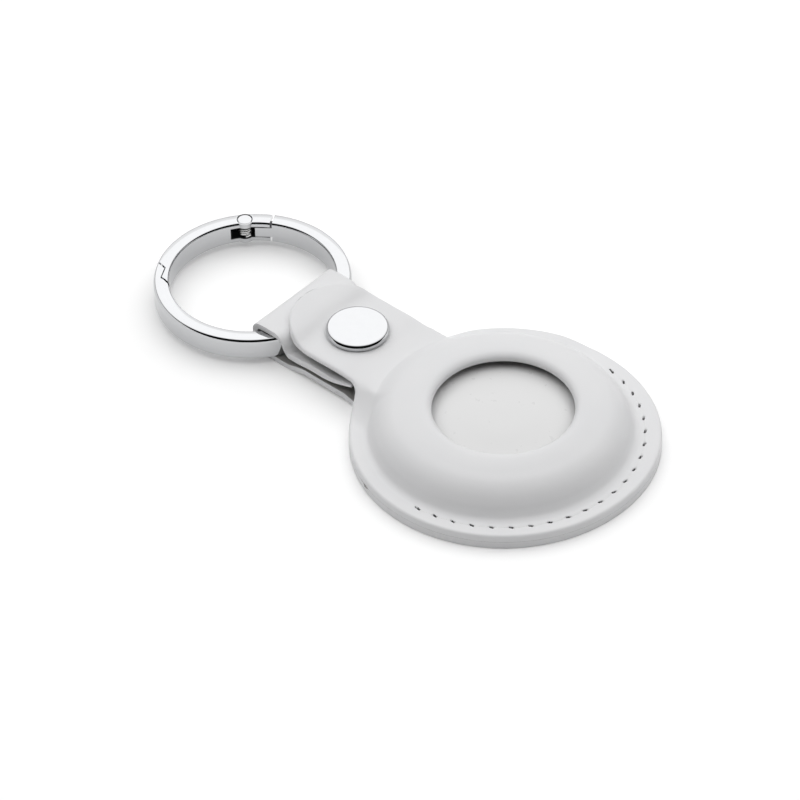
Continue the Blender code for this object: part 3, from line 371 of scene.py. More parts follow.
class Graph:
    """A node tree that is emptied and filled again."""

    def __init__(self, tree: bpy.types.NodeTree) -> None:
        """Empties the tree."""
        self.tree = tree
        tree.nodes.clear()

    def add(self, kind: str, inputs: dict | None = None, **settings: object) -> bpy.types.Node:
        """Adds a node.

        Args:
            kind: Blender's name of the node type.
            inputs: Values, or sockets to link from, by input name or number.
            **settings: Properties of the node.

        Returns:
            The new node.
        """
        node = self.tree.nodes.new(kind)
        for name, value in settings.items():
            setattr(node, name, value)
        for name, value in (inputs or {}).items():
            if isinstance(value, bpy.types.NodeSocket):
                self.tree.links.new(value, node.inputs[name])
            else:
                node.inputs[name].default_value = value
        return node

    def places(self, place: Place) -> bpy.types.NodeSocket:
        """The socket that gives texture places."""
        if place is Place.REST:
            return self.add("ShaderNodeAttribute", attribute_name=REST_PLACE).outputs["Vector"]
        return self.add("ShaderNodeTexCoord").outputs["Object"]

    def noise(self, place: bpy.types.NodeSocket, size: float, detail: float) -> bpy.types.NodeSocket:
        """Noise whose blotches are about a size across, in metres."""
        node = self.add("ShaderNodeTexNoise", {"Vector": place, "Scale": 1 / size, "Detail": detail})
        return node.outputs["Fac"]

    def spread(self, value: bpy.types.NodeSocket, low: float, high: float) -> bpy.types.NodeSocket:
        """Noise turned into values between low and high."""
        limits = {"From Min": NOISE_RANGE[0], "From Max": NOISE_RANGE[1], "To Min": low, "To Max": high}
        return self.add("ShaderNodeMapRange", {"Value": value, **limits}).outputs["Result"]

    def rise(
        self, value: bpy.types.NodeSocket, edges: tuple, low: float, high: float
    ) -> bpy.types.NodeSocket:
        """A smooth step from low to high between two edges."""
        limits = {"From Min": edges[0], "From Max": edges[1], "To Min": low, "To Max": high}
        node = self.add("ShaderNodeMapRange", {"Value": value, **limits}, interpolation_type="SMOOTHSTEP")
        return node.outputs["Result"]

    def blend(self, share: bpy.types.NodeSocket, first: tuple, second: tuple) -> bpy.types.NodeSocket:
        """A colour between two colours."""
        node = self.add("ShaderNodeMix", {"Factor": share}, data_type="RGBA")
        node.inputs[6].default_value = (*first, 1)
        node.inputs[7].default_value = (*second, 1)
        return node.outputs[2]

    def math(self, operation: str, *values: bpy.types.NodeSocket | float) -> bpy.types.NodeSocket:
        """The result of one operation on numbers."""
        return self.add("ShaderNodeMath", dict(enumerate(values)), operation=operation).outputs[0]

    def bump(self, strength: float, distance: float, height: bpy.types.NodeSocket) -> bpy.types.NodeSocket:
        """A normal that leans with a height."""
        inputs = {"Strength": strength, "Distance": distance, "Height": height}
        return self.add("ShaderNodeBump", inputs).outputs[0]

    def finish(self, inputs: dict) -> None:
        """Ends the tree with a surface that has these inputs."""
        shader = self.add("ShaderNodeBsdfPrincipled", inputs)
        self.add("ShaderNodeOutputMaterial", {"Surface": shader.outputs[0]})


def new_material(name: str) -> tuple[bpy.types.Material, Graph]:
    """A material and its empty node tree."""
    material = bpy.data.materials.new(name)
    material.use_nodes = True
    return material, Graph(material.node_tree)


@dataclass(frozen=True)
class LeatherFinish:
    """Fine-grained leather with a matt pigmented face."""

    name: str = "white_leather_face"
    light: tuple[float, float, float] = (0.765, 0.765, 0.772)
    shade: tuple[float, float, float] = (0.745, 0.747, 0.757)
    grain: float = 0.00034
    crease: float = 0.0022
    blotch: float = 0.009
    grain_height: float = 0.000008
    bump: float = 0.55
    cell_smoothness: float = 0.6
    cell_randomness: float = 0.9
    # What the grain's cells, the pores and the creases add to its height
    relief: tuple[float, float, float] = (0.55, 0.25, 0.6)
    roughness: tuple[float, float] = (0.47, 0.59)
    specular: float = 0.4
    sheen: float = 0.06
    sheen_roughness: float = 0.5

    def make(self) -> bpy.types.Material:
        """Builds the material."""
        material, graph = new_material(self.name)
        place = graph.places(Place.REST)
        spots = {"Vector": place, "Scale": 1 / self.grain}
        spots |= {"Smoothness": self.cell_smoothness, "Randomness": self.cell_randomness}
        cells = graph.add("ShaderNodeTexVoronoi", spots, feature="SMOOTH_F1")
        pores = graph.noise(place, self.grain / 3, 4.0)
        tone = graph.noise(place, self.blotch, 4.0)
        height = graph.math("MULTIPLY", cells.outputs["Distance"], self.relief[0])
        height = graph.math("MULTIPLY_ADD", pores, self.relief[1], height)
        height = graph.math("MULTIPLY_ADD", graph.noise(place, self.crease, 5.0), self.relief[2], height)
        graph.finish({
            "Base Color": graph.blend(graph.spread(tone, 0.0, 1.0), self.shade, self.light),
            "Roughness": graph.spread(pores, *self.roughness),
            "Normal": graph.bump(self.bump, self.grain_height, height),
            "Specular IOR Level": self.specular,
            "Sheen Weight": self.sheen,
            "Sheen Roughness": self.sheen_roughness,
        })
        return material


@dataclass(frozen=True)
class MetalFinish:
    """Metal with a lightly uneven polish."""

    name: str
    colour: tuple[float, float, float]
    roughness: float
    least_roughness: float = 0.02
    unevenness: float = 0.006
    wave: float = 0.008
    wave_height: float = 0.000001
    bump: float = 0.4
    # Share of the colour's strength where the polish is dull
    dull: float = 0.985

    def make(self) -> bpy.types.Material:
        """Builds the material."""
        material, graph = new_material(self.name)
        place = graph.places(Place.OBJECT)
        haze = graph.noise(place, self.wave / 6, 5.0)
        darker = tuple(self.dull * part for part in self.colour)
        low = max(self.roughness - self.unevenness / 2, self.least_roughness)
        graph.finish({
            "Base Color": graph.blend(graph.spread(haze, 0.0, 1.0), darker, self.colour),
            "Metallic": 1.0,
            "Roughness": graph.spread(haze, low, self.roughness + self.unevenness),
            "Normal": graph.bump(self.bump, self.wave_height, graph.noise(place, self.wave, 1.0)),
        })
        return material


@dataclass(frozen=True)
class PlainFinish:
    """Moulded plastic, thread or board: a colour that varies a little over a fine texture."""

    name: str
    colour: tuple[float, float, float]
    roughness: float
    variation: float = 0.04
    texture: float = 0.0006
    texture_height: float = 0.000003
    bump: float = 0.5
    roughness_change: float = 0.03
    coat: float = 0.0
    coat_roughness: float = 0.08
    place: Place = Place.OBJECT

    def make(self) -> bpy.types.Material:
        """Builds the material."""
        material, graph = new_material(self.name)
        place = graph.places(self.place)
        fine = graph.noise(place, self.texture, 4.0)
        broad = graph.noise(place, self.texture * 12, 2.0)
        darker = tuple((1 - self.variation) * part for part in self.colour)
        low, high = self.roughness - self.roughness_change, self.roughness + self.roughness_change
        graph.finish({
            "Base Color": graph.blend(graph.spread(broad, 0.0, 1.0), darker, self.colour),
            "Roughness": graph.spread(fine, low, high),
            "Normal": graph.bump(self.bump, self.texture_height, fine),
            "Coat Weight": self.coat,
            "Coat Roughness": self.coat_roughness,
        })
        return material


@dataclass(frozen=True)
class Finishes:
    """The holder's materials, built once."""

    leather: bpy.types.Material
    flesh_and_shade: bpy.types.Material
    thread: bpy.types.Material
    nickel: bpy.types.Material
    steel: bpy.types.Material
    slot_metal_and_shade: bpy.types.Material
    core: bpy.types.Material
    plastic: bpy.types.Material
    board: bpy.types.Material
    copper: bpy.types.Material
    brass: bpy.types.Material

    @staticmethod
    def build() -> "Finishes":
        """Builds every finish."""
        rest = Place.REST
        made = {
            "leather": LeatherFinish(),
            # The raw flesh side, its dark grey partly painted shade for the gaps under and between the plies
            "flesh_and_shade": PlainFinish(
                "leather_flesh_side_and_painted_shade", (0.36, 0.355, 0.345), 0.88, 0.14, 0.0004, 0.00003, place=rest
            ),
            "thread": PlainFinish(
                "waxed_thread", (0.78, 0.78, 0.785), 0.62, 0.06, 0.00012, 0.00001, place=rest
            ),
            "nickel": MetalFinish("polished_nickel", (0.555, 0.56, 0.57), 0.03),
            "steel": MetalFinish("spring_wire_steel", (0.72, 0.72, 0.715), 0.18),
            # Rough slot metal whose dark colour is painted shade
            "slot_metal_and_shade": MetalFinish("rough_slot_metal_painted_shade", (0.16, 0.16, 0.165), 0.42),
            # Near-black painted shade for the inside of the needle holes
            "core": PlainFinish("needle_hole_painted_shade", (0.08, 0.08, 0.082), 0.9, 0.2, 0.0002, place=rest),
            "plastic": PlainFinish(
                "white_tag_plastic", (0.73, 0.73, 0.73), 0.3, 0.006, 0.0012, 0.0000004, coat=0.25
            ),
            "board": PlainFinish("green_board_mask", (0.02, 0.16, 0.07), 0.42, 0.25),
            "copper": MetalFinish("copper_winding", (0.75, 0.33, 0.15), 0.30),
            "brass": MetalFinish("contact_brass_strip", (0.70, 0.52, 0.20), 0.26),
        }
        return Finishes(**{name: finish.make() for name, finish in made.items()})


@dataclass
class FrontLeather:
    """The moulded front panel with its flap and tab, cut from one sheet of leather."""

    finishes: Finishes
    thickness: float = 0.00113
    # The window's lip: its share of the full thickness, and the width over which the leather thins
    lip_share: float = 0.3
    lip_width: float = 0.0019
    window_radius: float = 0.0104
    dome_x: float = -0.0005
    # The dome's middle is at dome_x halfway from the window to this radius, and back over a ramp of that way
    centre_radius: float = 0.020
    centre_back: tuple = (0.85, 0.35)
    mould_rows: int = 78
    dome_points: int = 400
    tab_points: int = 200
    disc_radius: float = 0.0225
    flange_top: float = 0.0023
    half_width: float = 0.00835
    far_width: float = 0.0080
    neck_ramp: float = 0.0050
    far_ramp: float = 0.0026
    neck_power: float = 1.6
    neck_soft: float = 0.0018
    wall_soft: float = 0.0003
    # How softly the neck's sides start, and the x beyond which there is a neck
    side_soft: float = 0.006
    neck_from: float = -0.008
    fillet: float = 0.0025
    far_fillet: float = 0.0004
    tab_end_x: float = -0.030693
    straight_x: float = -0.0242
    # A ramp says where it starts, as a radius, an angle or a distance from the middle, and how long it is
    rim_swell: float = 0.00055
    swell_angle: float = math.radians(36)
    swell_ramp: tuple = (0.0212, 0.0013)
    far_lift: float = 0.00045
    lift_ramp: tuple = (0.0188, 0.003)
    lift_on: tuple = (1.65, 0.26)
    lift_off: tuple = (2.45, 0.26)
    pinch_side: tuple = (0.0089, 0.0008)
    pinch_rim: tuple = (0.0205, 0.0015)
    # The pinch reaches to this x on the far and on the near side, and this far above the flange
    pinch_far_x: float = 0.002
    pinch_near_x: float = -0.010
    pinch_above: float = 0.002
    neck_rows: int = 14
    straight_rows: int = 18
    tip_rows: int = 30
    tip_degrees: float = 88.0
    neck_columns: int = 52
    plain_columns: int = 60
    stitches: int = 21
    stitch_radius: float = 0.0206
    # The row of stitches reaches this far to each side of +X, but stops short of it on the far side
    half_turn: float = math.radians(85.8)
    far_short: float = math.radians(6.2)
    split_x: float = -0.0199
    edge_round: float = 0.00042
    # Distances of the columns and rows from a cut edge
    edge_steps: tuple = (0.0, 0.00004, 0.0001, 0.00018, 0.00028, 0.00042)
    # The open border within this distance of the window's edge is the window
    window_clear: float = 0.002
    hole_slant: float = math.radians(17)
    hole_length: float = 0.00036
    hole_width: float = 0.00013
    hole_depth: float = 0.00058
    # Below this height the needle holes are painted near black, as painted shade for the holes
    hole_shade_top: float = 0.00216
    # The groove under the thread, and the angle over which it and the holes end
    groove_width: float = 0.0002
    groove_depth: float = 0.00003
    seam_fade: float = 0.03
    # Places of the columns along one stitch, from a hole to halfway to the next
    hole_steps: tuple = (0.0, 0.00009, 0.00018, 0.00027, 0.00036, 0.00046, 0.00062, 0.00095)
    # Places of the rows across the seam, from its middle
    seam_steps: tuple = (
        -0.00036, -0.00026, -0.00019, -0.00013, -0.00008, -0.00004, 0.0, 0.00004, 0.00008, 0.00013, 0.00019,
        0.00026, 0.00036, 0.0006, 0.0010, 0.0013,
    )
    # Radius and height of the moulded top, from the window out
    dome: tuple = (
        (0.0104, 0.00658), (0.01042, 0.00688), (0.01055, 0.00716), (0.0108, 0.0074), (0.0112, 0.0076),
        (0.0118, 0.00767), (0.0128, 0.00757), (0.0145, 0.0072), (0.0163, 0.0066), (0.0176, 0.0056),
        (0.0185, 0.0043), (0.0190, 0.0032), (0.0195, 0.00252), (0.0200, 0.00231), (0.0206, 0.0023),
        (0.0225, 0.0023),
    )
    # The x and the height of the top of the neck and the tab
    tab: tuple = (
        (-0.016, 0.0052), (-0.021, 0.0052), (-0.0225, 0.00526), (-0.0245, 0.00544), (-0.027, 0.00545),
        (-0.0300, 0.00545), (-0.0315, 0.0055), (-0.0328, 0.00578), (-0.0340, 0.0063), (-0.0352, 0.0066),
        (-0.0368, 0.00672), (-0.040, 0.00673),
    )

    def fillet_centre(self, far: bool) -> tuple[float, float]:
        """The centre of the outline's fillet between the disc and one side of the tab, with y above 0."""
        width, fillet = (self.far_width, self.far_fillet) if far else (self.half_width, self.fillet)
        y = width + fillet
        return -math.sqrt((self.disc_radius + fillet) ** 2 - y**2), y

    def neck_angle(self, far: bool) -> float:
        """The angle over which one side of the tab leaves the disc, from -X."""
        x, y = self.fillet_centre(far)
        return math.atan2(y, -x)

    def neck_angles(self) -> np.ndarray:
        """Angles of the columns across the neck, from its far side to its near side."""
        shares = self.neck_shares()
        return math.pi + shares * np.where(shares < 0, self.neck_angle(True), self.neck_angle(False))

    def neck_shares(self) -> np.ndarray:
        """Places of the columns across the neck, from -1 to 1, closer together at the cut edges."""
        edge = 1 - np.array(self.edge_steps) / self.half_width
        middle = np.linspace(-edge[-1], edge[-1], self.neck_columns - 2 * len(edge) + 3)[1:-1]
        return np.concatenate([-edge, middle, edge[::-1]])

    def tab_height(self, x: np.ndarray) -> np.ndarray:
        """The height of the tab's top at x."""
        curve = smooth_curve(self.tab, self.tab_points)
        return np.interp(-x, -curve[:, 0], curve[:, 1])

    def raise_neck(self, points: np.ndarray) -> np.ndarray:
        """Lifts the neck from the flange to the tab, with a soft crease at the dome's wall."""
        x, y, z = points.T.copy()
        down = (np.abs(y) - self.side_widths(y)) / np.where(y > 0, self.far_ramp, self.neck_ramp)
        down = 0.5 * (down + np.sqrt(down**2 + self.side_soft))
        share = np.clip(1 - down, 0.0, 1.0) ** self.neck_power
        lifted = self.flange_top + (self.tab_height(x) - self.flange_top) * share
        neck = np.where(x < self.neck_from, lifted, 0.0)
        soft = np.where(share > 0, mix(self.wall_soft, self.neck_soft, share), self.wall_soft)
        gap = np.clip(0.5 + 0.5 * (z - neck) / soft, 0, 1)
        z = neck + (z - neck) * gap + soft * gap * (1 - gap)
        return rows_of(x, y, z)

    def pitch(self) -> float:
        """The angle from one needle hole to the next."""
        return (2 * self.half_turn - self.far_short) / self.stitches

    def disc_angles(self) -> np.ndarray:
        """Angles of the columns round the disc, closer together at the neck and at the needle holes."""
        neck = self.neck_angles()[:-1]
        start = math.pi + self.neck_angle(False)
        before = np.linspace(start, 2 * math.pi - self.half_turn, self.plain_columns + 1)[:-1]
        pitch = self.pitch()
        steps = np.array(self.hole_steps) / self.stitch_radius
        stitch = np.concatenate([steps, [pitch / 2], pitch - steps[:0:-1]])
        first = 2 * math.pi - self.half_turn
        seam = np.concatenate([first + number * pitch + stitch for number in range(self.stitches)])
        end = 3 * math.pi - self.neck_angle(True)
        last = 2 * math.pi + self.half_turn - self.far_short
        after = np.linspace(last, end, self.plain_columns + 1)[:-1]
        return np.concatenate([neck, before, seam, after])

    def disc_rows(self) -> list[np.ndarray]:
        """Rings of points from the window's edge to the disc's rim."""
        angles = self.disc_angles()
        curve = smooth_curve(self.dome, self.dome_points)
        along = run_along(curve)
        rim = self.disc_radius - np.array(self.edge_steps)[::-1]
        seam = np.concatenate([np.array(self.seam_steps) + self.stitch_radius, rim])
        to_seam = np.interp(seam[0], curve[:, 0], along)
        places = np.linspace(0, to_seam, self.mould_rows)[:-1]
        radii = np.concatenate([np.interp(places, along, curve[:, 0]), seam])
        heights = np.interp(places, along, curve[:, 1])
        heights = np.concatenate([heights, np.interp(seam, curve[:, 0], curve[:, 1])])
        rows = []
        for radius, height in zip(radii, heights):
            out = (radius - self.window_radius) / (self.centre_radius - self.window_radius)
            centre = mix(0.0, self.dome_x, min(2 * out, 1))
            centre = mix(centre, 0.0, float(ramp(out, *self.centre_back)))
            wide = radius + self.swell(angles) * ramp(radius, *self.swell_ramp)
            lift = self.far_lift * self.far_side(angles) * ramp(radius, *self.lift_ramp)
            rows.append(rows_of(centre + wide * np.cos(angles), wide * np.sin(angles), height + lift))
        return rows

    def swell(self, angles: np.ndarray) -> np.ndarray:
        """How far the rim stands out beyond the circle, round the disc."""
        off = (angles - self.swell_angle + math.pi) % (2 * math.pi) - math.pi
        return self.rim_swell * np.exp(-((off / self.swell_angle) ** 2))

    def far_side(self, angles: np.ndarray) -> np.ndarray:
        """Where the flap's flange stands up a little, as a share from 0 to 1."""
        angles = angles % (2 * math.pi)
        return ramp(angles, *self.lift_on) * (1 - ramp(angles, *self.lift_off))

    def tab_rows(self) -> list[np.ndarray]:
        """Rows of points across the tab, from the disc's rim to the rounded tip."""
        start = self.neck_angles()
        first = np.stack([self.disc_radius * np.cos(start), self.disc_radius * np.sin(start)], axis=1)
        last = self.neck_rows
        sides = {far: [self.tab_edge(far, step / last) for step in range(last + 1)] for far in (False, True)}
        widths = self.side_widths(first[:, 1])
        column = first[:, 1] / np.where(first[:, 1] > 0, first[0, 1], -first[-1, 1])
        is_far = first[:, 1] > 0
        rows = []
        for step in range(last + 1):
            (near_x, near_y), (far_x, far_y) = sides[False][step], sides[True][step]
            edge_x, edge_y = np.where(is_far, far_x, near_x), np.where(is_far, far_y, near_y)
            corner_x = np.where(is_far, first[0, 0], first[-1, 0])
            bow = (first[:, 0] + self.disc_radius) / (corner_x + self.disc_radius)
            middle = mix(-self.disc_radius, self.straight_x, step / last)
            rows.append(rows_of(middle + (edge_x - middle) * bow, edge_y * column, 0.0))
        for x in np.linspace(self.straight_x, self.tab_end_x, self.straight_rows)[1:]:
            rows.append(rows_of(x, widths * column, 0.0))
        for angle in np.radians(np.linspace(0, self.tip_degrees, self.tip_rows))[1:]:
            x = self.tab_end_x - self.half_width * math.sin(angle)
            rows.append(rows_of(x, widths * math.cos(angle) * column, 0.0))
        return rows

    def side_widths(self, side: np.ndarray) -> np.ndarray:
        """The tab's half width on the far side where a value is above 0, else on the near side."""
        return np.where(side > 0, self.far_width, self.half_width)

    def tab_edge(self, far: bool, share: float) -> tuple[float, float]:
        """A point along one cut edge of the tab, from the disc's rim to the straight part.

        Args:
            far: Which side of the tab.
            share: How far along, from 0 to 1.

        Returns:
            Its x, and its distance from the middle of the tab.
        """
        fillet, width = (self.far_fillet, self.far_width) if far else (self.fillet, self.half_width)
        centre_x, centre_y = self.fillet_centre(far)
        first = math.atan2(-centre_y, -centre_x)
        arc = fillet * abs(first + math.pi / 2)
        run = share * (arc + centre_x - self.straight_x)
        if run >= arc:
            return centre_x - (run - arc), width
        angle = mix(first, -math.pi / 2, run / arc)
        return centre_x + fillet * math.cos(angle), centre_y + fillet * math.sin(angle)

    def sheet(self) -> bpy.types.Object:
        """The whole top face of the leather as one open sheet."""
        disc = self.disc_rows()
        tab = self.tab_rows()
        faces = grid_faces(0, len(disc), len(disc[0]), True)
        faces += grid_faces(len(disc) * len(disc[0]), len(tab), len(tab[0]), False)
        tab_points = np.vstack(tab)
        tab_points[:, 2] = self.flange_top
        points = np.vstack([*disc, tab_points])
        points = self.raise_neck(points)
        points = self.press_seam(points)
        return weld(object_of("front_sheet", points, faces), outward=False)

    def press_seam(self, points: np.ndarray) -> np.ndarray:
        """Presses the thread's line and the slanted needle holes into the flange."""
        x, y, z = points.T.copy()
        off = np.hypot(x, y) - self.stitch_radius
        angle = np.arctan2(y, x)
        pitch, fade = self.pitch(), self.seam_fade
        reach = self.half_turn - self.far_short / 2
        inside = ease((reach + fade - np.abs(angle + self.far_short / 2)) / fade)
        groove = np.exp(-((off / self.groove_width) ** 2)) * inside * self.groove_depth
        along = (((angle + self.half_turn) / pitch + 0.5) % 1 - 0.5) * pitch * self.stitch_radius
        slant = Vector((math.cos(self.hole_slant), math.sin(self.hole_slant)))
        length = (along * slant.x + off * slant.y) / self.hole_length
        width = (off * slant.x - along * slant.y) / self.hole_width
        holes = np.exp(-(length**4) - width**4) * inside * self.hole_depth
        return rows_of(x, y, z - groove - holes)

    def solid(self) -> bpy.types.Object:
        """The sheet with its thickness, thinner at the window's lip, and softly rounded cut edges."""
        made = self.sheet()
        paint(made, self.finishes.leather, self.finishes.flesh_and_shade, self.finishes.core)
        group = made.vertex_groups.new(name="thickness")
        for vertex in made.data.vertices:
            from_lip = math.hypot(vertex.co.x, vertex.co.y) - self.window_radius
            group.add([vertex.index], float(ease(from_lip / self.lip_width)), "REPLACE")
        solidify = made.modifiers.new("thickness", "SOLIDIFY")
        solidify.thickness = self.thickness
        solidify.offset = -1
        solidify.use_even_offset = True
        solidify.vertex_group = group.name
        solidify.thickness_vertex_group = self.lip_share
        # The underside shows the raw flesh side, its dark grey partly painted shade in the gaps under the
        # leather
        solidify.material_offset = 1
        outline = self.outline(made)
        tops = len(made.data.vertices)
        settle(made)
        self.pinch(made)
        self.round_top(made, tops, outline)
        # Faces deep in the needle holes are painted near black: painted shade in place of the holes' shadow
        for face in made.data.polygons:
            middle = face.center
            off_seam = abs(math.hypot(middle.x, middle.y) - self.stitch_radius)
            if off_seam < self.hole_length and self.hole_shade_top > middle.z > self.flange_top - self.hole_depth:
                face.material_index = 2
        shape = bmesh.new()
        shape.from_mesh(made.data)
        geometry = [*shape.verts, *shape.edges, *shape.faces]
        plane = {"plane_co": (self.split_x, 0, 0), "plane_no": (1, 0, 0)}
        bmesh.ops.bisect_plane(shape, geom=geometry, dist=WELD, **plane)
        shape.to_mesh(made.data)
        shape.free()
        return smooth(made, LEATHER_SHADE)

    def outline(self, made: bpy.types.Object) -> np.ndarray:
        """The sheet's open border without the window, as points in a plane."""
        uses = {}
        for face in made.data.polygons:
            for pair in face.edge_keys:
                uses[pair] = uses.get(pair, 0) + 1
        numbers = {number for pair, count in uses.items() if count == 1 for number in pair}
        points = np.array([tuple(made.data.vertices[number].co) for number in sorted(numbers)])
        clear = np.hypot(points[:, 0], points[:, 1]) > self.window_radius + self.window_clear
        return points[clear][:, :2]

    def round_top(self, made: bpy.types.Object, tops: int, outline: np.ndarray) -> None:
        """Rounds the top's cut edges by lowering the points near the outline.

        Args:
            made: The solid leather.
            tops: How many of its first points lie on the top face.
            outline: Points along the cut edges.
        """
        reach = self.edge_round
        for vertex in made.data.vertices[:tops]:
            place = np.array((vertex.co.x, vertex.co.y))
            if math.hypot(*place) < self.disc_radius - 2 * reach:
                continue
            away = float(np.min(np.hypot(*(outline - place).T)))
            if away < reach:
                vertex.co.z -= reach - math.sqrt(reach**2 - (reach - away) ** 2)

    def pinch(self, made: bpy.types.Object) -> None:
        """Presses the underside of the neck's ends and of the far flange onto the back leather."""
        places = np.zeros(len(made.data.vertices) * 3)
        made.data.vertices.foreach_get("co", places)
        places = places.reshape(-1, 3)
        x, y, z = places.T
        tops = self.raise_neck(rows_of(x, y, self.flange_top))[:, 2]
        reached = x <= np.where(y > 0, self.pinch_far_x, self.pinch_near_x)
        near_rim = reached & (z <= self.flange_top + self.pinch_above)
        under = near_rim & (z < tops - self.thickness / 2)
        beside = ramp(np.abs(y), *self.pinch_side)
        outside = ramp(np.hypot(x, y), *self.pinch_rim)
        closed = np.minimum(z, self.flange_top - self.thickness)
        places[:, 2] = np.where(under, z + (closed - z) * beside * outside, z)
        made.data.vertices.foreach_set("co", places.ravel())

    def build(self) -> None:
        """Builds the panel with its flap, and the tab, in place of their solids."""
        whole = self.solid()
        panel = part_of(whole, "front_leather", lambda middle: middle.x > self.split_x)
        tab = part_of(whole, "tab_leather", lambda middle: middle.x < self.split_x)
        bpy.data.objects.remove(whole)
        for piece in (panel, tab):
            paint(piece, self.finishes.leather, self.finishes.flesh_and_shade, self.finishes.core)
            keep_rest_places(piece)
        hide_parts("front_panel", "front_flap")
        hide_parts("front_tab")
        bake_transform(panel)
        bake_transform(tab)
        LOG.info("front leather: %d and %d points", len(panel.data.vertices), len(tab.data.vertices))


def part_of(whole: bpy.types.Object, name: str, wanted: Callable[[Vector], bool]) -> bpy.types.Object:
    """Copies some faces of a mesh to a piece of their own, closed where it was cut, with the same shading.

    Args:
        whole: The mesh object to copy from.
        name: The new piece's name.
        wanted: Says whether a face belongs to the piece, from its middle.

    Returns:
        The new object.
    """
    mesh = whole.data
    numbers = {}
    faces, normals, sorts = [], [], []
    corner_normals = mesh.corner_normals
    for face in mesh.polygons:
        if not wanted(face.center):
            continue
        faces.append(tuple(numbers.setdefault(corner, len(numbers)) for corner in face.vertices))
        normals += [tuple(corner_normals[loop].vector) for loop in face.loop_indices]
        sorts.append(face.material_index)
    points = [mesh.vertices[number].co for number in numbers]
    sides = {}
    for face in faces:
        for first, second in zip(face, (*face[1:], face[0])):
            sides[(first, second)] = True
    border = {second: first for first, second in sides if (second, first) not in sides}
    while border:
        first = next(iter(border))
        loop = [first]
        following = border.pop(first)
        while following != first:
            loop.append(following)
            following = border.pop(following)
        faces.append(tuple(loop))
        way = Vector((0, 0, 0))
        for here, there in zip(loop, (*loop[1:], loop[0])):
            way += points[here].cross(points[there])
        normals += [tuple(way.normalized())] * len(loop)
        sorts.append(0)
    made = object_of(name, np.array([tuple(point) for point in points]), faces)
    made.data.polygons.foreach_set("material_index", sorts)
    made.data.shade_smooth()
    made.data.normals_split_custom_set(normals)
    return made


